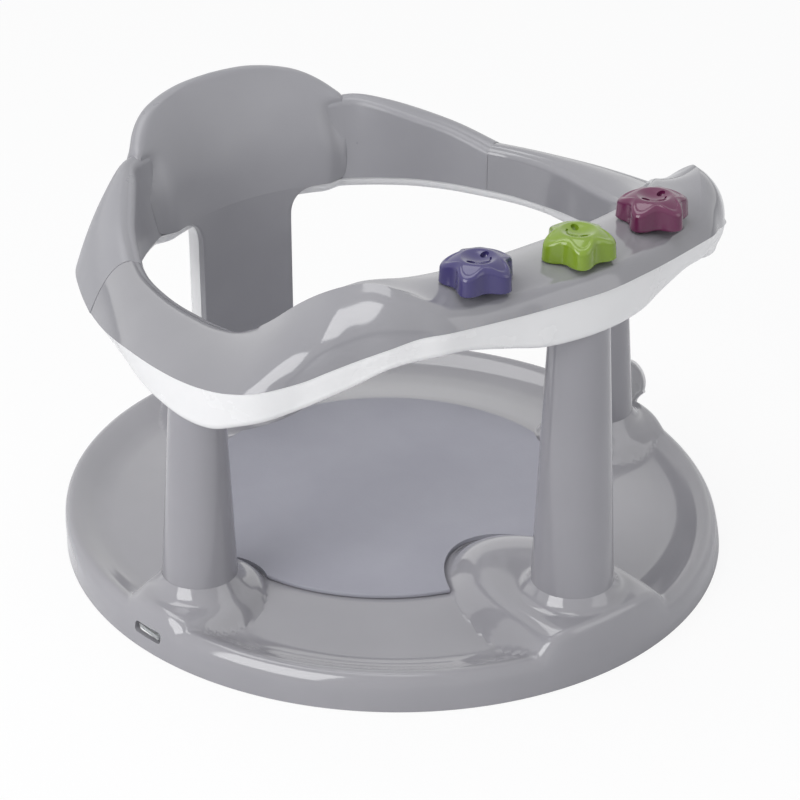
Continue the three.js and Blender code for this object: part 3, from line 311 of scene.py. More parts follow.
# Base
feet = {"sideX": 148.5, "sideY": -14.964, "frontY": -155.556, "backY": 153, "sideRadius": 21.3,
        "frontRadius": 23.1, "sideHeight": 27, "frontHeight": 33, "legGap": 0.3}
base = {
    "halfWidth": 190, "backReach": 197.5, "rimBackReach": 197, "shift": 7.5, "wall": 2.8,
    "rim": 19.6, "seat": 17, "gutter": 11.5, "seatRadius": 116, "sides": 512, "step": 1.25,
    "collar": 6.5, "collarWidth": 8, "collarPower": 2.2, "moundPower": 0.8,
    "boss": 8.6, "bossLow": 14.45, "bossRise": 1.4, "bore": 5.4, "boreLow": 12.45,
    "screwHole": 2, "postScrewGap": 12.4, "legScrewGap": 20, "seatTaper": 2.2, "seatDepth": 35,
    "seatGap": 0.04, "seatBite": 0.1,
    "window": {"width": 21, "height": 6.5, "middle": 11.2, "round": 2.2, "leftY": -19.5, "rightY": 0,
               "reach": (179.5, 196.3)},
}
# inner, outer and across are the distances from a mound's middle to its foot
mounds = [
    {"x": 0, "y": feet["frontY"], "height": feet["frontHeight"], "inner": 90, "outer": 72, "across": 50,
     "fall": 4.2, "post": feet["frontRadius"]},
    {"x": 0, "y": feet["backY"], "height": 27, "inner": 38, "outer": 44, "across": 55, "fall": 6, "post": 0},
]
for side in (-1, 1):
    mounds.append({"x": side * feet["sideX"], "y": feet["sideY"], "height": feet["sideHeight"], "inner": 40,
                   "outer": 44, "across": 35, "fall": 4.4, "post": feet["sideRadius"]})
rimShare = 0.964
seatShare = base["seatRadius"] / base["halfWidth"]


# The direction from the seat's middle to a mound
def outward(mound):
    x, y = mound["x"], mound["y"] - base["shift"]
    reach = math.hypot(x, y)
    return x / reach, y / reach


def moundShare(mound, x, y):
    out = outward(mound)
    x, y = x - mound["x"], y - mound["y"]
    along = x * out[0] + y * out[1]
    aside = x * out[1] - y * out[0]
    length = np.where(along < 0, mound["inner"], mound["outer"])
    distance = np.hypot(along / length, aside / mound["across"])
    return easeStep(0, 1, np.clip(1 - distance ** mound["fall"], 0, 1) ** base["moundPower"])


# The small collar that a mound raises round its post
def collarRise(mound, x, y):
    if not mound["post"]:
        return np.zeros_like(x)
    away = np.hypot(x - mound["x"], y - mound["y"]) - mound["post"]
    return base["collar"] * np.clip(1 - away / base["collarWidth"], 0, 1.5) ** base["collarPower"]


def baseRing(row, under):
    share, height, lift = row
    lift = min(max(lift, 0), 1)
    angle = np.arange(base["sides"]) * 2 * math.pi / base["sides"]
    radius = share * base["halfWidth"]
    towards = min(max((share - seatShare) / (rimShare - seatShare), 0), 1)
    shift = base["shift"] * lift
    back = mixed(base["backReach"], base["rimBackReach"], lift) - mixed(1, rimShare, lift) * base["halfWidth"]
    stretch = np.where(np.sin(angle) < 0, baseFront - base["halfWidth"] + shift, back - shift)
    x = radius * np.cos(angle)
    y = (radius + towards * stretch) * np.sin(angle) + shift
    raised = np.zeros_like(x)
    for mound in mounds:
        foot = base["rim"] if lift < 1 else height + under
        raised = np.maximum(raised, (mound["height"] - foot) * moundShare(mound, x, y))
    if lift == 1 and not under:
        raised = raised + sum(collarRise(mound, x, y) for mound in mounds)
    return np.column_stack([x, y, height + raised * lift])


seatHeight, gutterHeight, rimHeight = base["seat"], base["gutter"], base["rim"]
intoGutter = [(0.65, 0.14), (0.69, 0.38), (0.73, 0.62), (0.77, 0.84), (0.81, 0.97), (0.848, 1)]
toRim = [(0.884, 0.2), (0.918, 0.58), (0.944, 0.88)]
# share of the half width, height and lift, from the seat's middle out and down to the foot of the wall
topRows = [
    *((share, seatHeight, 1) for share in (0.05, 0.3, 0.48, 0.53, 0.572, seatShare)),
    *((share, mixed(seatHeight, gutterHeight, fall), 1) for share, fall in intoGutter),
    *((share, mixed(gutterHeight, rimHeight, rise), 1) for share, rise in toRim),
    (rimShare, rimHeight, 1), (0.979, rimHeight * 0.91, 0.9), (0.99, rimHeight * 0.7, 0.55),
    (0.996, rimHeight * 0.35, 0.2), (1, 0, 0),
]
wallShare = base["wall"] / base["halfWidth"]
underRows = [
    (1 - wallShare, 0, 0), (0.995 - wallShare, rimHeight * 0.35, 0.2),
    (0.984 - wallShare, rimHeight * 0.62, 0.5), (0.963 - wallShare, rimHeight * 0.8, 0.82),
]
openRows = [(share, height - base["wall"], lift) for share, height, lift in topRows if share < 0.95][::-1]


# Rows of a table spread evenly along its profile
def evenRows(rows, step):
    fine = np.array(alongRows(rows, 40))
    along = np.hypot(np.diff(fine[:, 0]) * base["halfWidth"], np.diff(fine[:, 1]))
    along = np.concatenate([[0], np.cumsum(along)])
    places = np.linspace(0, along[-1], round(along[-1] / step) + 1)
    return np.column_stack([np.interp(places, along, fine[:, k]) for k in range(3)])


def footScrews(mound):
    if mound["x"] == 0 and mound["y"] > 0:
        return [(side * base["legScrewGap"], mound["y"]) for side in (-1, 1)]
    out = outward(mound)
    gaps = [side * base["postScrewGap"] for side in (-1, 1)]
    return [(mound["x"] + gap * out[1], mound["y"] - gap * out[0]) for gap in gaps]


rings = [baseRing(row, 0) for row in [*evenRows(topRows, base["step"]), *underRows]]
rings += [baseRing(row, base["wall"]) for row in alongRows(openRows, 2)]
tips = [(0, base["shift"], seatHeight), (0, base["shift"], seatHeight - base["wall"])]
baseDish = solid("baseDish", *ringBody(rings, *tips), finish["base"])
bosses = []
holes = []
for mound in mounds:
    under = mound["height"] - base["wall"]
    place = (mound["x"], mound["y"])
    bosses.append(drum("boss", base["boss"], base["bossLow"], under + base["bossRise"], *place))
    holes.append(drum("bore", base["bore"], base["boreLow"], under, *place))
    for x, y in footScrews(mound):
        holes.append(drum("screwHole", base["screwHole"], under - 2, mound["height"] + 2, x, y, 24))
window = base["window"]
half = np.array([0, window["width"], window["height"]]) / 2
for side, y in ((-1, window["leftY"]), (1, window["rightY"])):
    near, far = sorted(side * reach for reach in window["reach"])
    holes.append(roundedBlock("windowCut", (near, y, window["middle"]) - half,
                              (far, y, window["middle"]) + half, window["round"]))
for mound in mounds:
    if mound["post"]:
        wide = mound["post"] + base["seatGap"]    # a seat that follows the post's taper
        floor, top = mound["height"] - base["seatBite"], mound["height"] + base["seatDepth"]
        seat = [(0, floor), (wide, floor), (wide - base["seatTaper"], top), (0, top)]
        holes.append(solid("postSeat", *turnedBody(seat, mound["x"], mound["y"])))
baseDish = moulded(moulded(baseDish, bosses, "UNION"), holes, "DIFFERENCE")
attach(baseDish, "seat_frame")
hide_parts("base_dish")
print("base made:", len(baseDish.data.polygons), "faces")

# Seat pad
seatPad = {"radius": 114.5, "low": 17.3, "thick": 2.5, "round": 1.1, "relief": 0.5, "chamfer": 0.6,
           "lowRing": 20, "topRings": (80, 40)}


def moundPrism(mound, low, high, count=96):
    out = outward(mound)
    angle = np.arange(count) * 2 * math.pi / count
    along = -(mound["inner"] + seatPad["relief"]) * np.cos(angle)
    aside = (mound["across"] + seatPad["relief"]) * np.sin(angle)
    x = mound["x"] + along * out[0] + aside * out[1]
    y = mound["y"] + along * out[1] - aside * out[0]
    rings = [np.column_stack([x, y, np.full(count, height)]) for height in (low, high)]
    middle = (mound["x"], mound["y"])
    return solid("padCut", *ringBody(rings, (*middle, low), (*middle, high)))


low = seatPad["low"]
high = low + seatPad["thick"]
radius, corner, chamfer = seatPad["radius"], seatPad["round"], seatPad["chamfer"]
curve = [(radius - corner * (1 - math.cos(a)), high - corner * (1 - math.sin(a)))
         for a in np.linspace(0, math.pi / 2, 6)]
profile = [(0, low), (seatPad["lowRing"], low), (radius - chamfer, low), (radius, low + chamfer), *curve,
           *((ring, high) for ring in seatPad["topRings"]), (0, high)]
padPiece = solid("seatPad", *turnedBody(profile, 0, base["shift"], 192), finish["pad"])
padPiece = moulded(padPiece, [moundPrism(mound, low - 2, high + 2) for mound in mounds], "DIFFERENCE")
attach(padPiece, "seat_frame")
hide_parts("seat_pad")
print("pad made")


# Posts: one tapered, leaning tube made by geometry nodes
postShape = {"sides": 96, "segments": 90, "rounding": 0.0022, "roundingStart": -0.0012, "drawnIn": 0.93}


# A new tree with its inputs, by kind, and its two end nodes
def treeOf(name, inputs):
    tree = bpy.data.node_groups.new(name, "GeometryNodeTree")
    for kind, labels in {"Geometry": ["Geometry"], "Material": ["Material"], **inputs}.items():
        for label in labels:
            tree.interface.new_socket(label, in_out="INPUT", socket_type="NodeSocket" + kind)
    tree.interface.new_socket("Geometry", in_out="OUTPUT", socket_type="NodeSocketGeometry")
    return tree, nodeOf(tree, "NodeGroupInput"), nodeOf(tree, "NodeGroupOutput")


# Makes a tree's shape real, gives it the material and sends it out
def finishTree(tree, given, result, shaped, output):
    real = nodeOf(tree, "GeometryNodeRealizeInstances")
    coat = nodeOf(tree, "GeometryNodeSetMaterial")
    link(tree, shaped, output, real, "Geometry")
    link(tree, real, "Geometry", coat, "Geometry")
    link(tree, given, "Material", coat, "Material")
    link(tree, coat, "Geometry", result, "Geometry")


def postTree():
    tree, given, result = treeOf("taperedPost", {
        "Float": ["Foot radius", "Tip radius", "Height", "Foot rounding"], "Vector": ["Foot place", "Lean"]})
    rod = nodeOf(tree, "GeometryNodeMeshCone", fill_type="TRIANGLE_FAN")
    fill(rod, {"Vertices": postShape["sides"], "Side Segments": postShape["segments"]})
    link(tree, given, "Tip radius", rod, "Radius Top")
    link(tree, given, "Foot radius", rod, "Radius Bottom")
    link(tree, given, "Height", rod, "Depth")
    here = nodeOf(tree, "GeometryNodeInputPosition")
    parts = nodeOf(tree, "ShaderNodeSeparateXYZ")
    link(tree, here, "Position", parts, "Vector")
    ease = nodeOf(tree, "ShaderNodeMapRange", interpolation_type="SMOOTHERSTEP")    # draws the foot in
    link(tree, parts, "Z", ease, "Value")
    fill(ease, {"From Min": postShape["roundingStart"], "To Min": postShape["drawnIn"], "To Max": 1.0})
    link(tree, given, "Foot rounding", ease, "From Max")
    drawn = nodeOf(tree, "ShaderNodeCombineXYZ")
    for axis in ("X", "Y"):
        scaled = mathOf(tree, "NodeMath", "MULTIPLY", (parts, axis), (ease, "Result"))
        link(tree, scaled, "Value", drawn, axis)
    link(tree, parts, "Z", drawn, "Z")
    risen = mathOf(tree, "NodeMath", "DIVIDE", (parts, "Z"), (given, "Height"))
    leaned = mathOf(tree, "NodeVectorMath", "SCALE", (given, "Lean"))
    link(tree, risen, "Value", leaned, "Scale")
    total = mathOf(tree, "NodeVectorMath", "ADD", (drawn, "Vector"), (leaned, "Vector"))
    moved = mathOf(tree, "NodeVectorMath", "ADD", (total, "Vector"), (given, "Foot place"))
    shaped = nodeOf(tree, "GeometryNodeSetPosition")
    link(tree, rod, "Mesh", shaped, "Geometry")
    link(tree, moved, "Vector", shaped, "Position")
    finishTree(tree, given, result, shaped, "Geometry")
    return tree


# Runs a tree on points and keeps what it makes as a plain piece
def bakeTree(name, tree, values, points=()):
    carrierMesh = bpy.data.meshes.new(name + "Carrier")
    carrierMesh.from_pydata(points, [], [])
    carrier = added(name + "Carrier", carrierMesh)
    step = carrier.modifiers.new("tree", "NODES")
    step.node_group = tree
    for item in tree.interface.items_tree:
        if item.name in values:
            step[item.identifier] = values[item.name]
    graph = bpy.context.evaluated_depsgraph_get()
    mesh = bpy.data.meshes.new_from_object(carrier.evaluated_get(graph))
    bpy.data.objects.remove(carrier)
    piece = added(name, mesh)
    smoothPiece(piece)
    return piece


sidePost = {"y": feet["sideY"], "low": feet["sideHeight"] + feet["legGap"], "top": 156,
            "foot": feet["sideRadius"], "tip": 14.2}
posts = [
    {"name": "leftPost", "node": "left_post", "x": -feet["sideX"], "lean": (3, 0), **sidePost},
    {"name": "rightPost", "node": "right_post", "x": feet["sideX"], "lean": (-3, 0), **sidePost},
    {"name": "frontPost", "node": "front_post", "x": 0, "y": feet["frontY"], "lean": (0, 2),
     "low": feet["frontHeight"] + feet["legGap"], "top": 215.5, "foot": feet["frontRadius"], "tip": 15},
]
tree = postTree()
for post in posts:
    foot = np.array([post["x"], post["y"], post["low"]]) / 1000 + seatMiddle
    piece = bakeTree(post["name"], tree, {
        "Foot radius": post["foot"] / 1000, "Tip radius": post["tip"] / 1000,
        "Height": (post["top"] - post["low"]) / 1000, "Foot rounding": postShape["rounding"],
        "Foot place": tuple(float(v) for v in foot),
        "Lean": (post["lean"][0] / 1000, post["lean"][1] / 1000, 0.0),
        "Material": finish["post"],
    })
    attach(piece, "seat_frame")
    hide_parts(post["node"])
print("posts made")

# Ring: outline rows from the front middle to the grey seam
ring = {"halfWidth": 180, "reach": 174, "tray": 231, "wall": 2.6, "gap": 0.3, "step": 0.6, "rowSteps": 6,
        "corner": 4.5, "cornerShare": 0.45, "roundIn": 6, "roundOut": 7, "roundShare": 0.8, "lip": 0.8,
        "draftIn": 2, "splitY": 23.5, "cutterLow": 60}
spindle = {"hole": 4.4, "low": 215, "high": 236}
# outer seam x y z, inner seam x y z, ridge share, ridge, middle, edge, bulge, belly, floor, draft
frontShares = [
    [0, -1, 0.952, 0, -0.672, 0.892, 0.14, 0.991, 1, 0.981, 1.1, 0, 0.837, 0.006],
    [0.167, -0.98, 0.95, 0.156, -0.67, 0.892, 0.15, 0.99, 1, 0.981, 1.1, 0, 0.837, 0.009],
    [0.289, -0.954, 0.946, 0.267, -0.661, 0.892, 0.17, 0.985, 1, 0.981, 1.1, 0, 0.851, 0.017],
    [0.417, -0.925, 0.944, 0.378, -0.644, 0.892, 0.17, 0.981, 1, 0.982, 1, 0, 0.868, 0.019],
    [0.506, -0.905, 0.944, 0.456, -0.621, 0.887, 0.22, 0.996, 0.998, 0.987, 0.8, 0.006, 0.869, 0.019],
    [0.572, -0.862, 0.935, 0.511, -0.598, 0.887, 0.27, 1.017, 1, 0.994, 0.7, 0.012, 0.858, 0.019],
    [0.639, -0.816, 0.913, 0.556, -0.569, 0.879, 0.36, 1.035, 1.002, 0.991, 0.6, 0.02, 0.839, 0.019],
    [0.7, -0.753, 0.883, 0.589, -0.529, 0.866, 0.41, 1.025, 0.986, 0.974, 0.5, 0.028, 0.8, 0.019],
    [0.761, -0.695, 0.853, 0.622, -0.477, 0.844, 0.46, 1, 0.962, 0.947, 0.45, 0.035, 0.767, 0.019],
    [0.817, -0.632, 0.82, 0.656, -0.42, 0.814, 0.6, 0.953, 0.924, 0.907, 0.4, 0.038, 0.733, 0.019],
    [0.906, -0.563, 0.797, 0.689, -0.356, 0.771, 0.74, 0.892, 0.872, 0.853, 0.4, 0.033, 0.703, 0.019],
    [0.956, -0.489, 0.784, 0.717, -0.287, 0.74, 0.76, 0.85, 0.835, 0.81, 0.5, 0.022, 0.68, 0.019],
    [0.989, -0.402, 0.777, 0.733, -0.218, 0.719, 0.72, 0.826, 0.816, 0.784, 0.75, 0.01, 0.655, 0.022],
    [1.006, -0.287, 0.771, 0.744, -0.126, 0.701, 0.68, 0.816, 0.808, 0.782, 0.9, 0, 0.647, 0.022],
    [1, -0.144, 0.76, 0.752, -0.029, 0.693, 0.67, 0.814, 0.806, 0.781, 0.9, 0, 0.645, 0.022],
    [0.978, 0, 0.745, 0.757, 0.069, 0.688, 0.68, 0.812, 0.805, 0.78, 0.9, 0, 0.645, 0.022],
    [0.944, 0.144, 0.723, 0.748, 0.172, 0.684, 0.7, 0.809, 0.803, 0.779, 0.9, 0, 0.649, 0.022],
    [0.902, 0.287, 0.701, 0.726, 0.276, 0.684, 0.72, 0.806, 0.8, 0.778, 0.95, 0, 0.649, 0.017],
    [0.853, 0.431, 0.684, 0.69, 0.373, 0.684, 0.74, 0.804, 0.799, 0.778, 1, 0, 0.649, 0.013],
]


def mirrorRow(row, sides):
    return [-value if k in sides else value for k, value in enumerate(row)]


halfWidth, reach, tray = ring["halfWidth"], ring["reach"], ring["tray"]
frontScales = [halfWidth, reach, tray, halfWidth, reach, tray, 1, tray, tray, tray, 1, halfWidth, tray, tray]
frontRows = (np.array(frontShares) * frontScales).tolist()
frontRun = [mirrorRow(row, (0, 3)) for row in frontRows[:0:-1]] + frontRows


# The line over a cover's section, from its outer seam to its inner one, with a rounded inner edge
def coverLine(row, faceCount=14, beyondCount=16, cornerCount=7):
    ox, oy, oz, ix, iy, iz, ridgeShare, ridge, middle, edge, bulge, belly = row[:12]
    width = math.hypot(ix - ox, iy - oy)
    line = []
    for share in np.linspace(0, 1, faceCount, endpoint=False):
        hump = share * (1 - share)
        line.append((share * ridgeShare * width - 4 * belly * hump, mixed(oz, ridge, share + bulge * hump)))
    corner = min(ring["corner"], (edge - iz) * ring["cornerShare"])
    last = 1 - corner / (width * (1 - ridgeShare))

    def beyond(share):
        height = (ridge * (1 - share) * (1 - 2 * share) + middle * 4 * share * (1 - share)
                  + edge * share * (2 * share - 1))
        return mixed(ridgeShare, 1, share) * width, height

    line += [beyond(share) for share in np.linspace(0, last, beyondCount)]
    start = np.array(beyond(last))
    turn = start[1] - corner
    for angle in np.linspace(0, math.pi / 2, cornerCount)[1:]:
        line.append((start[0] + corner * math.sin(angle), turn + corner * math.cos(angle)))
    return [*line, (width, mixed(turn, iz, 0.5)), (width, iz)]


# The line under a white shell's section: rounded walls and a flat floor
def underLine(row, cornerCount=8):
    ox, oy, oz, ix, iy, iz, floor, draft = row
    width = math.hypot(ix - ox, iy - oy)
    step = ring["step"]
    inner = width - ring["draftIn"] - step
    roundIn = min(ring["roundIn"], (iz - floor) * ring["roundShare"])
    roundOut = min(ring["roundOut"], (oz - floor) * ring["roundShare"])
    left = draft + step / 2
    turns = [(1 - math.cos(a), 1 - math.sin(a)) for a in np.linspace(0, math.pi / 2, cornerCount)]
    line = [(width - step, iz - ring["gap"])]
    line += [(inner - roundIn * x, floor + roundIn * z) for x, z in turns]
    line += [(left + roundOut * x, floor + roundOut * z) for x, z in turns[::-1]]
    line.append((mixed(left, step, 0.5) - ring["lip"], mixed(floor + roundOut, oz - ring["gap"], 0.5)))
    return [*line, (step, oz - ring["gap"])]


def sections(lineOf, rows):
    return [shellLoop(lineOf(row), row[0:2], row[3:5]) for row in rows]


def underRow(row):
    return [*row[:6], *row[12:]]


lastFront = len(frontRows) - 1


def placeAtY(y):
    place = lastFront
    while place > 0 and smoothRow(frontRows, place)[1] > y:
        place -= 0.05
    return place


splitPlace = placeAtY(ring["splitY"])
coverRows = alongRows(frontRun, ring["rowSteps"])
frontCover = solid("frontCover", *loopBody(sections(coverLine, coverRows)), finish["cover"])
starPlaces = {
    "purple": {"x": -59.94, "y": -143.03, "turn": 282}, "green": {"x": 0, "y": -150.51, "turn": 164},
    "magenta": {"x": 59.94, "y": -143.03, "turn": 271},
}
frontCover = moulded(frontCover, [
    drum("spindleHole", spindle["hole"], spindle["low"], spindle["high"], star["x"], star["y"])
    for star in starPlaces.values()], "DIFFERENCE")
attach(frontCover, "seat_frame")
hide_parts("front_cover")

shellRows = [underRow(row) for row in
             alongRows(frontRun, ring["rowSteps"], lastFront - splitPlace, lastFront + splitPlace)]
underShell = solid("frontUnderShell", *loopBody(sections(underLine, shellRows)), finish["shell"])


def postCutter(post):
    low, high = post["low"] + ring["cutterLow"], post["top"] + ring["gap"]
    points, faces = turnedBody([(0, low), (1, low), (1, high), (0, high)], 0, 0, 64)
    x, y, z = points.T
    share = (z - post["low"]) / (post["top"] - post["low"])
    radius = mixed(post["foot"], post["tip"], share) + ring["gap"]
    places = [post["x"] + x * radius + post["lean"][0] * share,
              post["y"] + y * radius + post["lean"][1] * share, z]
    return solid("postCut", np.column_stack(places), faces)


underShell = moulded(underShell, [postCutter(post) for post in posts], "DIFFERENCE")
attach(underShell, "seat_frame")
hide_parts("front_under_shell")
print("ring made:", len(frontCover.data.polygons), len(underShell.data.polygons), "faces")

# Backrest: rear arms, domed panel and leg
# outer seam x y, inner seam x y, ridge, ridge share, inner edge, how far the inner side leans out
rearShares = [
    [0.797, 0.58, 0.628, 0.503, 0.84, 0.75, 0.82, 0],
    [0.722, 0.73, 0.558, 0.609, 0.866, 0.75, 0.848, 0],
    [0.617, 0.842, 0.483, 0.684, 0.887, 0.76, 0.87, 0.017],
    [0.506, 0.902, 0.414, 0.739, 0.896, 0.76, 0.88, 0.043],
    [0.389, 0.914, 0.35, 0.782, 0.89, 0.75, 0.874, 0.039],
    [0.25, 0.914, 0.233, 0.862, 0.872, 0.7, 0.86, 0.013],
    [0.122, 0.931, 0.117, 0.879, 0.862, 0.7, 0.85, 0.004],
    [0, 0.937, 0, 0.885, 0.858, 0.7, 0.846, 0],
]
panel = {"frontY": 145, "bow": 19.5, "thick": 16, "seam": 158, "rise": 73, "halfWidth": 68.94, "round": 6.5,
         "lean": (10, 16), "edgeLean": 41, "sink": 8, "sinkShares": (0.78, 1.04), "sinkEnds": (194, 209),
         "frontSkin": 4, "panelSkin": 6.5, "largerBy": 0.3, "startGap": 0.08, "thinFrom": 226.5,
         "thinOver": 4.6, "rows": 190, "armMiddle": 0.3}
# the panel's thickness and the rounding of its edge, each at four heights
panelThickness = ((198, 214, 226, 231), (panel["thick"], 10.5, 7, 6))
panelEdge = ((140, 160, 200, 212), (2, 3.4, 3.4, panel["round"]))
# half width of the leg and panel at each height
panelOutline = [
    (27.3, 34), (60, 34), (100, 34), (130, 34), (141, 34.1), (146, 34.9), (150, 36.6), (153.4, 39.4),
    (155.8, 43), (157.2, 47), (157.9, 51.5), (158.3, 64), (159.2, 69), (161, 71.4), (165, 72.4), (180, 74.3),
    (200, 76.3), (206.7, 75.6), (211, 72.2), (215.3, 67.5), (219.5, 61.3), (223, 53.9), (226, 43.9),
    (228.2, 33.5), (229.6, 24.5), (230.4, 14.5), (230.8, 6), (230.9, 3),
]


def panelFace(x, z):
    share = max(0.0, (z - panel["seam"]) / panel["rise"])
    across = (np.abs(x) / panel["halfWidth"]) ** 2
    side = np.minimum(1, across)
    middleLean = panel["lean"][0] * share + panel["lean"][1] * share ** 2
    # Below the arms' top the panel's sides sink into the arms
    sunk = easeStep(*panel["sinkShares"], np.sqrt(across)) * (1 - easeStep(*panel["sinkEnds"], z))
    lean = (1 - side) * middleLean + side * panel["edgeLean"] * share ** 2
    return panel["frontY"] - panel["bow"] * across + lean + panel["sink"] * sunk


# A section of the panel at one height; front moves its face back
def panelLoop(z, half, front=0.0, thick=None, count=33, rounded=True):
    thick = float(np.interp(z, *panelThickness)) if thick is None else thick
    angle = np.linspace(-1, 1, count)
    x = half * np.sign(angle) * np.abs(np.sin(angle * math.pi / 2)) if rounded else half * angle
    edge = min(float(np.interp(z, *panelEdge)), half * 0.9)
    inward = np.clip((np.abs(x) - (half - edge)) / edge, 0, 1)
    share = np.sqrt(np.clip(1 - inward ** 2, 0.0004, 1)) if rounded else np.ones_like(x)
    if rounded:    # and thinner towards the panel's top
        share = share * math.sqrt(max(0.02, 1 - max(0, (z - panel["thinFrom"]) / panel["thinOver"]) ** 2))
    middle = panelFace(x, z) + front + thick / 2
    near, far = (np.column_stack([x, middle + way * share * thick / 2, np.full(count, z)]) for way in (-1, 1))
    return np.vstack([near, far[::-1]])


rearArms = (np.array(rearShares) * [halfWidth, reach, halfWidth, reach, tray, 1, tray, tray]).tolist()
# The arms start a gap beyond the front cover's end, a little larger than it
lastRow = frontRows[-1]
across = np.array([lastRow[3] - lastRow[0], lastRow[4] - lastRow[1]])
across /= np.linalg.norm(across)
onward = np.array([across[1], -across[0]]) * panel["startGap"]
larger = panel["largerBy"]
rearStart = [*(lastRow[0:2] - across * larger + onward), *(lastRow[3:5] + across * larger + onward)]
rearArms.insert(0, [*rearStart, lastRow[7] + larger, lastRow[6], lastRow[9] + larger, 0])
armRun = [mirrorRow(row, (0, 2)) for row in rearArms] + rearArms[-2::-1]


def armLoop(row):
    ox, oy, ix, iy, top, ridgeShare, edge, lean = row
    seam = panel["seam"]
    width = math.hypot(ix - ox, iy - oy)
    middle = mixed(top, edge, panel["armMiddle"])
    line = coverLine([ox, oy, seam, ix, iy, seam, ridgeShare, top, middle, edge, 1, 0])
    line = [(x - lean * (z - seam) / (top - seam) * x / width, z) for x, z in line]
    return shellLoop(line, (ox, oy), (ix, iy))


armRows = alongRows(armRun, ring["rowSteps"])
arms = solid("backMoulding", *loopBody([armLoop(row) for row in armRows]), finish["backrest"])
heights = [smoothRow(panelOutline, place) for place in np.linspace(0, len(panelOutline) - 1, panel["rows"])]
heights = [row for k, row in enumerate(heights) if k == 0 or row[0] > heights[k - 1][0]]
panelBody = solid("panelBody", *loopBody([panelLoop(*row) for row in heights]), finish["backrest"])
rearPlate = {"low": 20, "legHalf": 74, "half": 40, "shoulder": 214, "top": 221.5, "topHalf": 32}


# The space behind the grey skin that the white rear shell takes
def rearSpace(name, grow):
    legSkin, skin, half = panel["frontSkin"], panel["panelSkin"], rearPlate["half"]
    rows = [(rearPlate["low"], rearPlate["legHalf"], legSkin),
            (panel["seam"] - ring["gap"], rearPlate["legHalf"], legSkin), (panel["seam"], half, skin),
            (rearPlate["shoulder"], half, skin), (rearPlate["top"], rearPlate["topHalf"], skin)]
    loops = []
    for k, (z, half, skin) in enumerate(rows):
        rise = grow if k == len(rows) - 1 else 0
        loops.append(panelLoop(z + rise, half + grow, skin - grow, 48, rounded=False))
    return solid(name, *loopBody(loops))


whole = moulded(arms, [panelBody], "UNION")
rearWhole = added("rearShell", whole.data.copy())
rearWhole.data.materials.clear()
rearWhole.data.materials.append(finish["shell"])
backrest = moulded(whole, [rearSpace("greyCut", ring["gap"])], "DIFFERENCE")
rearShell = moulded(rearWhole, [rearSpace("whiteKeep", 0.0)], "INTERSECT")

# The white shells under the rear arms: places along the rows of the front arm and of the rear one
armShell = {"start": 0.02, "frontEnd": 0.93, "end": 6.7, "level": 0.4, "deep": 8, "draft": 3,
            "frontRows": 12, "rows": 54}
start = splitPlace + armShell["start"]
joinRows = [underRow(smoothRow(frontRows, start + share * (lastFront - start)))
            for share in np.linspace(0, armShell["frontEnd"], armShell["frontRows"])]
seam = panel["seam"]
for place in np.linspace(armShell["start"], armShell["end"], armShell["rows"]):
    row = smoothRow(rearArms, place)
    innerY = min(row[3], panelFace(row[2], seam) + armShell["level"])    # level with the panel's face
    joinRows.append([row[0], row[1], seam, row[2], innerY, seam, seam - armShell["deep"], armShell["draft"]])
# the space of the grey leg's front, wider than the leg by the gap
legSkinRows = [(125, 34.3), (141, 34.4), (150, 36.9), (153.4, 39.7), (155.8, 43.3), (157.2, 47.3), (160, 52)]
legSkinSpace = {"front": -16, "thick": 20}
armShells = []
for side in (-1, 1):
    rows = [row if side > 0 else mirrorRow(row, (0, 3)) for row in joinRows]
    shell = solid("armShell", *loopBody(sections(underLine, rows)), finish["shell"])
    legSkin = solid("legSkin", *loopBody([
        panelLoop(z, half, *legSkinSpace.values(), rounded=False) for z, half in legSkinRows]))
    armShells.append(moulded(shell, [legSkin], "DIFFERENCE"))
rearShell = moulded(rearShell, armShells, "UNION")
for piece, node, finishSlot in ((backrest, "backrest", "cover"), (rearShell, "rear_shell", "shell")):
    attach(piece, "seat_frame")
    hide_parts(node)
print("backrest made:", len(backrest.data.polygons), len(rearShell.data.polygons), "faces")

# Star toys
stars = {"tip": 20, "valley": 14.8, "height": 14, "low": 231.5, "droop": 3.4, "edge": 3.9, "flare": 0.5,
         "dish": 2.3, "dishRadius": 9.3, "eye": (2.5, 2.0, 3.0), "eyeSpread": 5.6, "eyeRise": 0.6,
         "smile": 6.1, "smileWidth": 0.55, "smileSweep": 0.9, "bore": 4.3, "boreDepth": 8.8, "foot": 0.5,
         "points": 5, "pointPower": 1.1, "droopOver": 7, "bend": 1.5, "smileSink": 0.1,
         "sides": 240, "rings": 40, "edgeRings": 12, "wallRings": 14, "smileRows": 25}


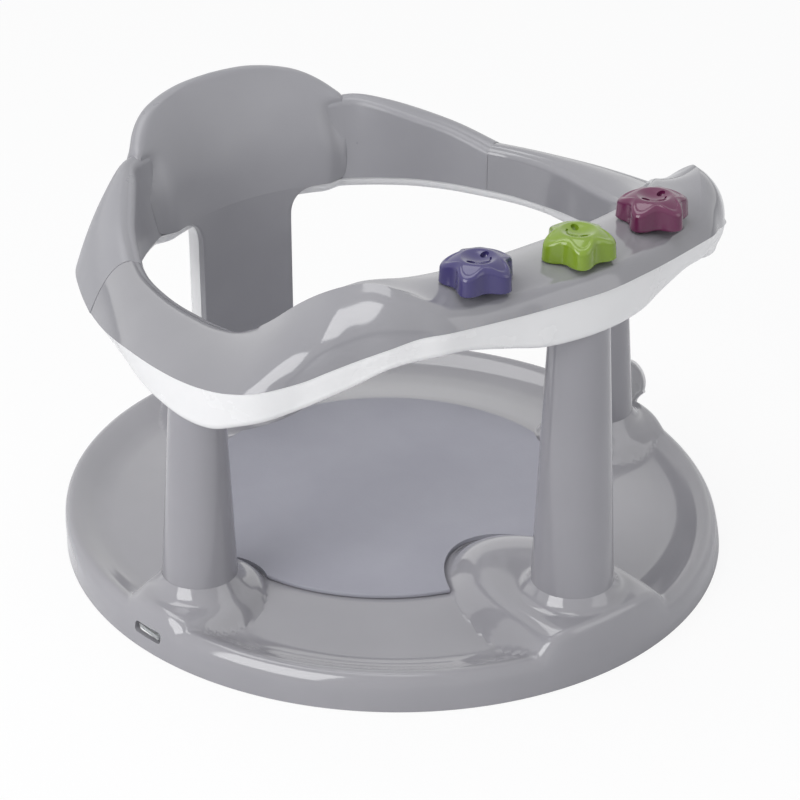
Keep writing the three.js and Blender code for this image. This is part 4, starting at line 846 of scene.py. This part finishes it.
def starBody(x, y, turn):
    angle = np.arange(stars["sides"]) * 2 * math.pi / stars["sides"]
    pointed = (0.5 + 0.5 * np.cos(stars["points"] * angle)) ** stars["pointPower"]
    reach = mixed(stars["valley"], stars["tip"], pointed)
    low, edge = stars["low"], stars["edge"]
    top = low + stars["height"]
    flat = reach - edge - stars["flare"]
    rings = []
    for share in np.linspace(0.04, 1, stars["rings"]):    # the top, from the middle out
        radius = share * flat
        inDish = np.clip(radius / stars["dishRadius"], 0, 1)
        onRim = np.clip((radius - stars["dishRadius"]) / stars["droopOver"], 0, 1)
        fall = stars["droop"] * onRim ** stars["bend"]
        rings.append((radius, top - fall - stars["dish"] * (1 - inDish ** 2) ** stars["bend"]))
    topEdge = rings[-1][1]
    for share in np.linspace(0, math.pi / 2, stars["edgeRings"])[1:]:    # the rounded edge
        rings.append((flat + edge * math.sin(share), topEdge - edge * (1 - math.cos(share))))
    wallTop = rings[-1][1]
    for share in np.linspace(0, 1, stars["wallRings"])[1:]:    # the wall, a little wider at its foot
        rings.append((flat + edge + stars["flare"] * share, mixed(wallTop, low + stars["foot"], share)))
    rings.append((reach - stars["foot"], np.full_like(reach, low)))
    turned = angle + math.radians(turn)
    loops = [np.column_stack([x + radius * np.cos(turned), y + radius * np.sin(turned),
                              height * np.ones_like(angle)]) for radius, height in rings]
    return ringBody(loops, (x, y, top - stars["dish"]), (x, y, low))


# An oval body for an eye, its first axis turned to the face's side
def blob(name, x, y, z, size, turn):
    arc = [(math.sin(a), -math.cos(a)) for a in np.linspace(0.2, math.pi - 0.2, 14)]
    points, faces = turnedBody([(0, -1), *arc, (0, 1)], 0, 0, 32)
    points = points * size
    cos, sin = math.cos(turn), math.sin(turn)
    places = np.column_stack([x + points[:, 0] * cos - points[:, 1] * sin,
                              y + points[:, 0] * sin + points[:, 1] * cos, z + points[:, 2]])
    return solid(name, places, faces)


# A round bar bent along part of a circle, as a cutter for the smile
def smileBar(x, y, z, chin):
    loops = []
    sweep = stars["smileSweep"]
    for angle in np.linspace(chin - sweep, chin + sweep, stars["smileRows"]):
        out = np.array([math.cos(angle), math.sin(angle), 0])
        middle = np.array([x, y, z]) + stars["smile"] * out
        around = [(math.cos(a) * out + math.sin(a) * np.array([0, 0, 1]))
                  for a in np.linspace(0, 2 * math.pi, 12, endpoint=False)]
        loops.append([middle + stars["smileWidth"] * way for way in around])
    return solid("smileCut", *loopBody(loops))


def dishHeight(radius):
    fall = stars["dish"] * (1 - (radius / stars["dishRadius"]) ** 2) ** stars["bend"]
    return stars["low"] + stars["height"] - fall


for name, star in starPlaces.items():
    x, y, low = star["x"], star["y"], stars["low"]
    toy = solid(name + "Star", *starBody(x, y, star["turn"]), finish[name], 50)
    cuts = [drum("starBore", stars["bore"], low - 2, low + stars["boreDepth"], x, y)]
    chin = math.radians(star["turn"])
    cos, sin = math.cos(chin), math.sin(chin)
    for side in (-1, 1):
        spread, rise = side * stars["eyeSpread"], stars["eyeRise"]
        cuts.append(blob("eyeCut", x - spread * sin - rise * cos, y + spread * cos - rise * sin,
                         dishHeight(stars["eyeSpread"]), stars["eye"], chin + math.pi / 2))
    cuts.append(smileBar(x, y, dishHeight(stars["smile"]) - stars["smileSink"], chin))
    toy = moulded(toy, cuts, "DIFFERENCE", 50)
    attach(toy, name + "_star_toy")
    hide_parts(name + "_star")
print("stars made")

# Release tab
tab = {"hingeX": 190.41, "y": 0, "low": 11.2, "neck": 10, "neckLength": 10, "width": 24, "length": 35,
       "thick": 2.2, "faceIn": 0.3, "rim": 0.44, "neckRound": 1.5, "shoulder": 4, "barrel": (2.3, 5.7),
       "pin": (1.1, 9)}


def tabOutline(count=20):
    half, neck = tab["width"] / 2, tab["neck"] / 2
    centre = tab["length"] - half
    neckTop = tab["neckLength"] - tab["neckRound"]
    rise = centre - tab["neckLength"] - tab["shoulder"]
    line = [(neck, z) for z in np.linspace(0, neckTop, 6)]
    line += [(mixed(neck, half, share ** 1.2), neckTop + rise * share ** 0.9)
             for share in np.linspace(0, 1, 12)[1:]]
    arc = [(half * math.cos(a), centre + half * math.sin(a)) for a in np.linspace(-0.35, math.pi / 2, count)]
    line += [point for point in arc if point[1] > line[-1][1]]
    return line + [(-x, z) for x, z in line[-2::-1]]


outline = np.array(tabOutline())
centre = np.array([0.0, tab["length"] - tab["width"] / 2])
# share of the outline and how far the face stands out there
levels = [(0.02, 0.0), (0.5, 0.0), (0.74, 0.0), (0.79, 0.08), (0.83, tab["rim"]), (0.93, tab["rim"]),
          (0.98, 0.24), (1.0, -0.16)]
half = tab["thick"] / 2 - tab["faceIn"]
loops = []
for side in (1, -1):
    for scale, raised in levels[::side]:
        flat = centre + (outline - centre) * scale
        depth = np.full(len(flat), side * (half + raised))
        loops.append(np.column_stack([tab["hingeX"] + depth, tab["y"] + flat[:, 0], tab["low"] + flat[:, 1]]))
middle = (tab["y"], tab["low"] + centre[1])
paddle = solid("releaseTab", *ringBody(
    loops, (tab["hingeX"] + half, *middle), (tab["hingeX"] - half, *middle)), finish["shell"])


def crossBar(name, radius, x, low, high, z, sides=32):
    points, faces = turnedBody([(0, low), (radius, low), (radius, high), (0, high)], 0, 0, sides)
    return solid(name, [(x + a, c, z - b) for a, b, c in points], faces)


bars = [crossBar(name, tab[name][0], tab["hingeX"], -tab[name][1], tab[name][1], tab["low"])
        for name in ("barrel", "pin")]
paddle = moulded(paddle, bars, "UNION")
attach(paddle, "release_tab")
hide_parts("right_release_tab")
print("tab made")


# Screws: one small screw repeated by geometry nodes
def screwTree():
    tree, given, result = treeOf("screwRow", {
        "Float": ["Head radius", "Head height", "Shank radius", "Shank length"]})
    joined = nodeOf(tree, "GeometryNodeJoinGeometry")
    for radius, height, segments in (("Head radius", "Head height", 3), ("Shank radius", "Shank length", 6)):
        rod = nodeOf(tree, "GeometryNodeMeshCylinder")
        fill(rod, {"Vertices": 24, "Side Segments": segments})
        link(tree, given, radius, rod, "Radius")
        link(tree, given, height, rod, "Depth")
        middle = mathOf(tree, "NodeMath", "MULTIPLY", (given, height), 0.5)
        if radius == "Shank radius":
            middle = mathOf(tree, "NodeMath", "ADD", (middle, "Value"), (given, "Head height"))
        up = nodeOf(tree, "ShaderNodeCombineXYZ")
        link(tree, middle, "Value", up, "Z")
        moved = nodeOf(tree, "GeometryNodeTransform")
        link(tree, rod, "Mesh", moved, "Geometry")
        link(tree, up, "Vector", moved, "Translation")
        link(tree, moved, "Geometry", joined, "Geometry")
    spread = nodeOf(tree, "GeometryNodeInstanceOnPoints")
    link(tree, given, "Geometry", spread, "Points")
    link(tree, joined, "Geometry", spread, "Instance")
    finishTree(tree, given, result, spread, "Instances")
    return tree


screwNodes = sorted(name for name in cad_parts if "screw" in name)
screwBoxes = [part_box(name) for name in screwNodes]
screwFeet = [((low.x + high.x) / 2, (low.y + high.y) / 2, low.z) for low, high in screwBoxes]
screws = bakeTree("screws", screwTree(), {
    "Head radius": 0.0028, "Head height": 0.0018, "Shank radius": 0.0016, "Shank length": 0.0084,
    "Material": finish["screw"],
}, screwFeet)
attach(screws, "seat_frame")
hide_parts(*screwNodes)
print("screws made:", len(screwNodes))

# Solids that stay, with their own finishes
for name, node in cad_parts.items():
    kind = "cup" if name.endswith("suction_cup") else "pin" if name.endswith(("spindle", "clip")) else None
    if kind:
        node.data.materials.clear()
        node.data.materials.append(finish[kind])

# Floor, light and background
studio = {"floorHalf": 6, "floorHeight": -0.0004, "floorColour": (0.86, 0.86, 0.87, 1), "floorGlow": 0.9,
          "skyColour": (0.97, 0.98, 1.0, 1), "skyStrength": 0.42}
floorMesh = bpy.data.meshes.new("floor")
floorMesh.from_pydata([(x * studio["floorHalf"], y * studio["floorHalf"], studio["floorHeight"])
                       for x, y in ((-1, -1), (1, -1), (1, 1), (-1, 1))], [], [(0, 1, 2, 3)])
floor = added("floor", floorMesh)
floorMaterial = bpy.data.materials.new("floorFinish")
floorMaterial.use_nodes = True
tree = floorMaterial.node_tree
tree.nodes.clear()
paint = nodeOf(tree, "ShaderNodeBsdfDiffuse")
fill(paint, {"Color": studio["floorColour"]})
glow = nodeOf(tree, "ShaderNodeEmission")
rays = nodeOf(tree, "ShaderNodeLightPath")
seen = mathOf(tree, "NodeMath", "MULTIPLY", (rays, "Is Camera Ray"), studio["floorGlow"])
blendTo(tree, "ShaderNodeOutputMaterial", (seen, "Value"), (paint, "BSDF"), (glow, "Emission"))
floorMesh.materials.append(floorMaterial)

world = bpy.data.worlds.new("studio")
scene.world = world
world.use_nodes = True
tree = world.node_tree
tree.nodes.clear()
rays = nodeOf(tree, "ShaderNodeLightPath")
shown = mathOf(tree, "NodeMath", "MAXIMUM", (rays, "Is Camera Ray"), (rays, "Is Glossy Ray"))
shownAlso = mathOf(tree, "NodeMath", "MAXIMUM", (shown, "Value"), (rays, "Is Transmission Ray"))
soft = nodeOf(tree, "ShaderNodeBackground")
fill(soft, {"Color": studio["skyColour"], "Strength": studio["skyStrength"]})
white = nodeOf(tree, "ShaderNodeBackground")
fill(white, {"Color": (1, 1, 1, 1)})
blendTo(tree, "ShaderNodeOutputWorld", (shownAlso, "Value"), (soft, "Background"), (white, "Background"))

lamps = {
    "keyLamp": {"place": (-1.5, -0.25, 0.95), "aim": (0, 0, 0.12), "size": 1.05, "power": 14.5},
    "topLamp": {"place": (-0.2, 0.3, 2.0), "aim": (0, 0, 0.1), "size": 1.4, "power": 15},
    "fillLamp": {"place": (0.9, -1.6, 0.9), "aim": (0, 0, 0.1), "size": 1.2, "power": 4.5},
}
for name, look in lamps.items():
    lampData = bpy.data.lights.new(name, "AREA")
    lampData.size = look["size"]
    lampData.energy = look["power"]
    lamp = added(name, lampData)
    lamp.location = look["place"]
    lamp.rotation_euler = (Vector(look["aim"]) - Vector(look["place"])).to_track_quat("-Z", "Y").to_euler()
scene.view_settings.view_transform = "Standard"
print("lights set")
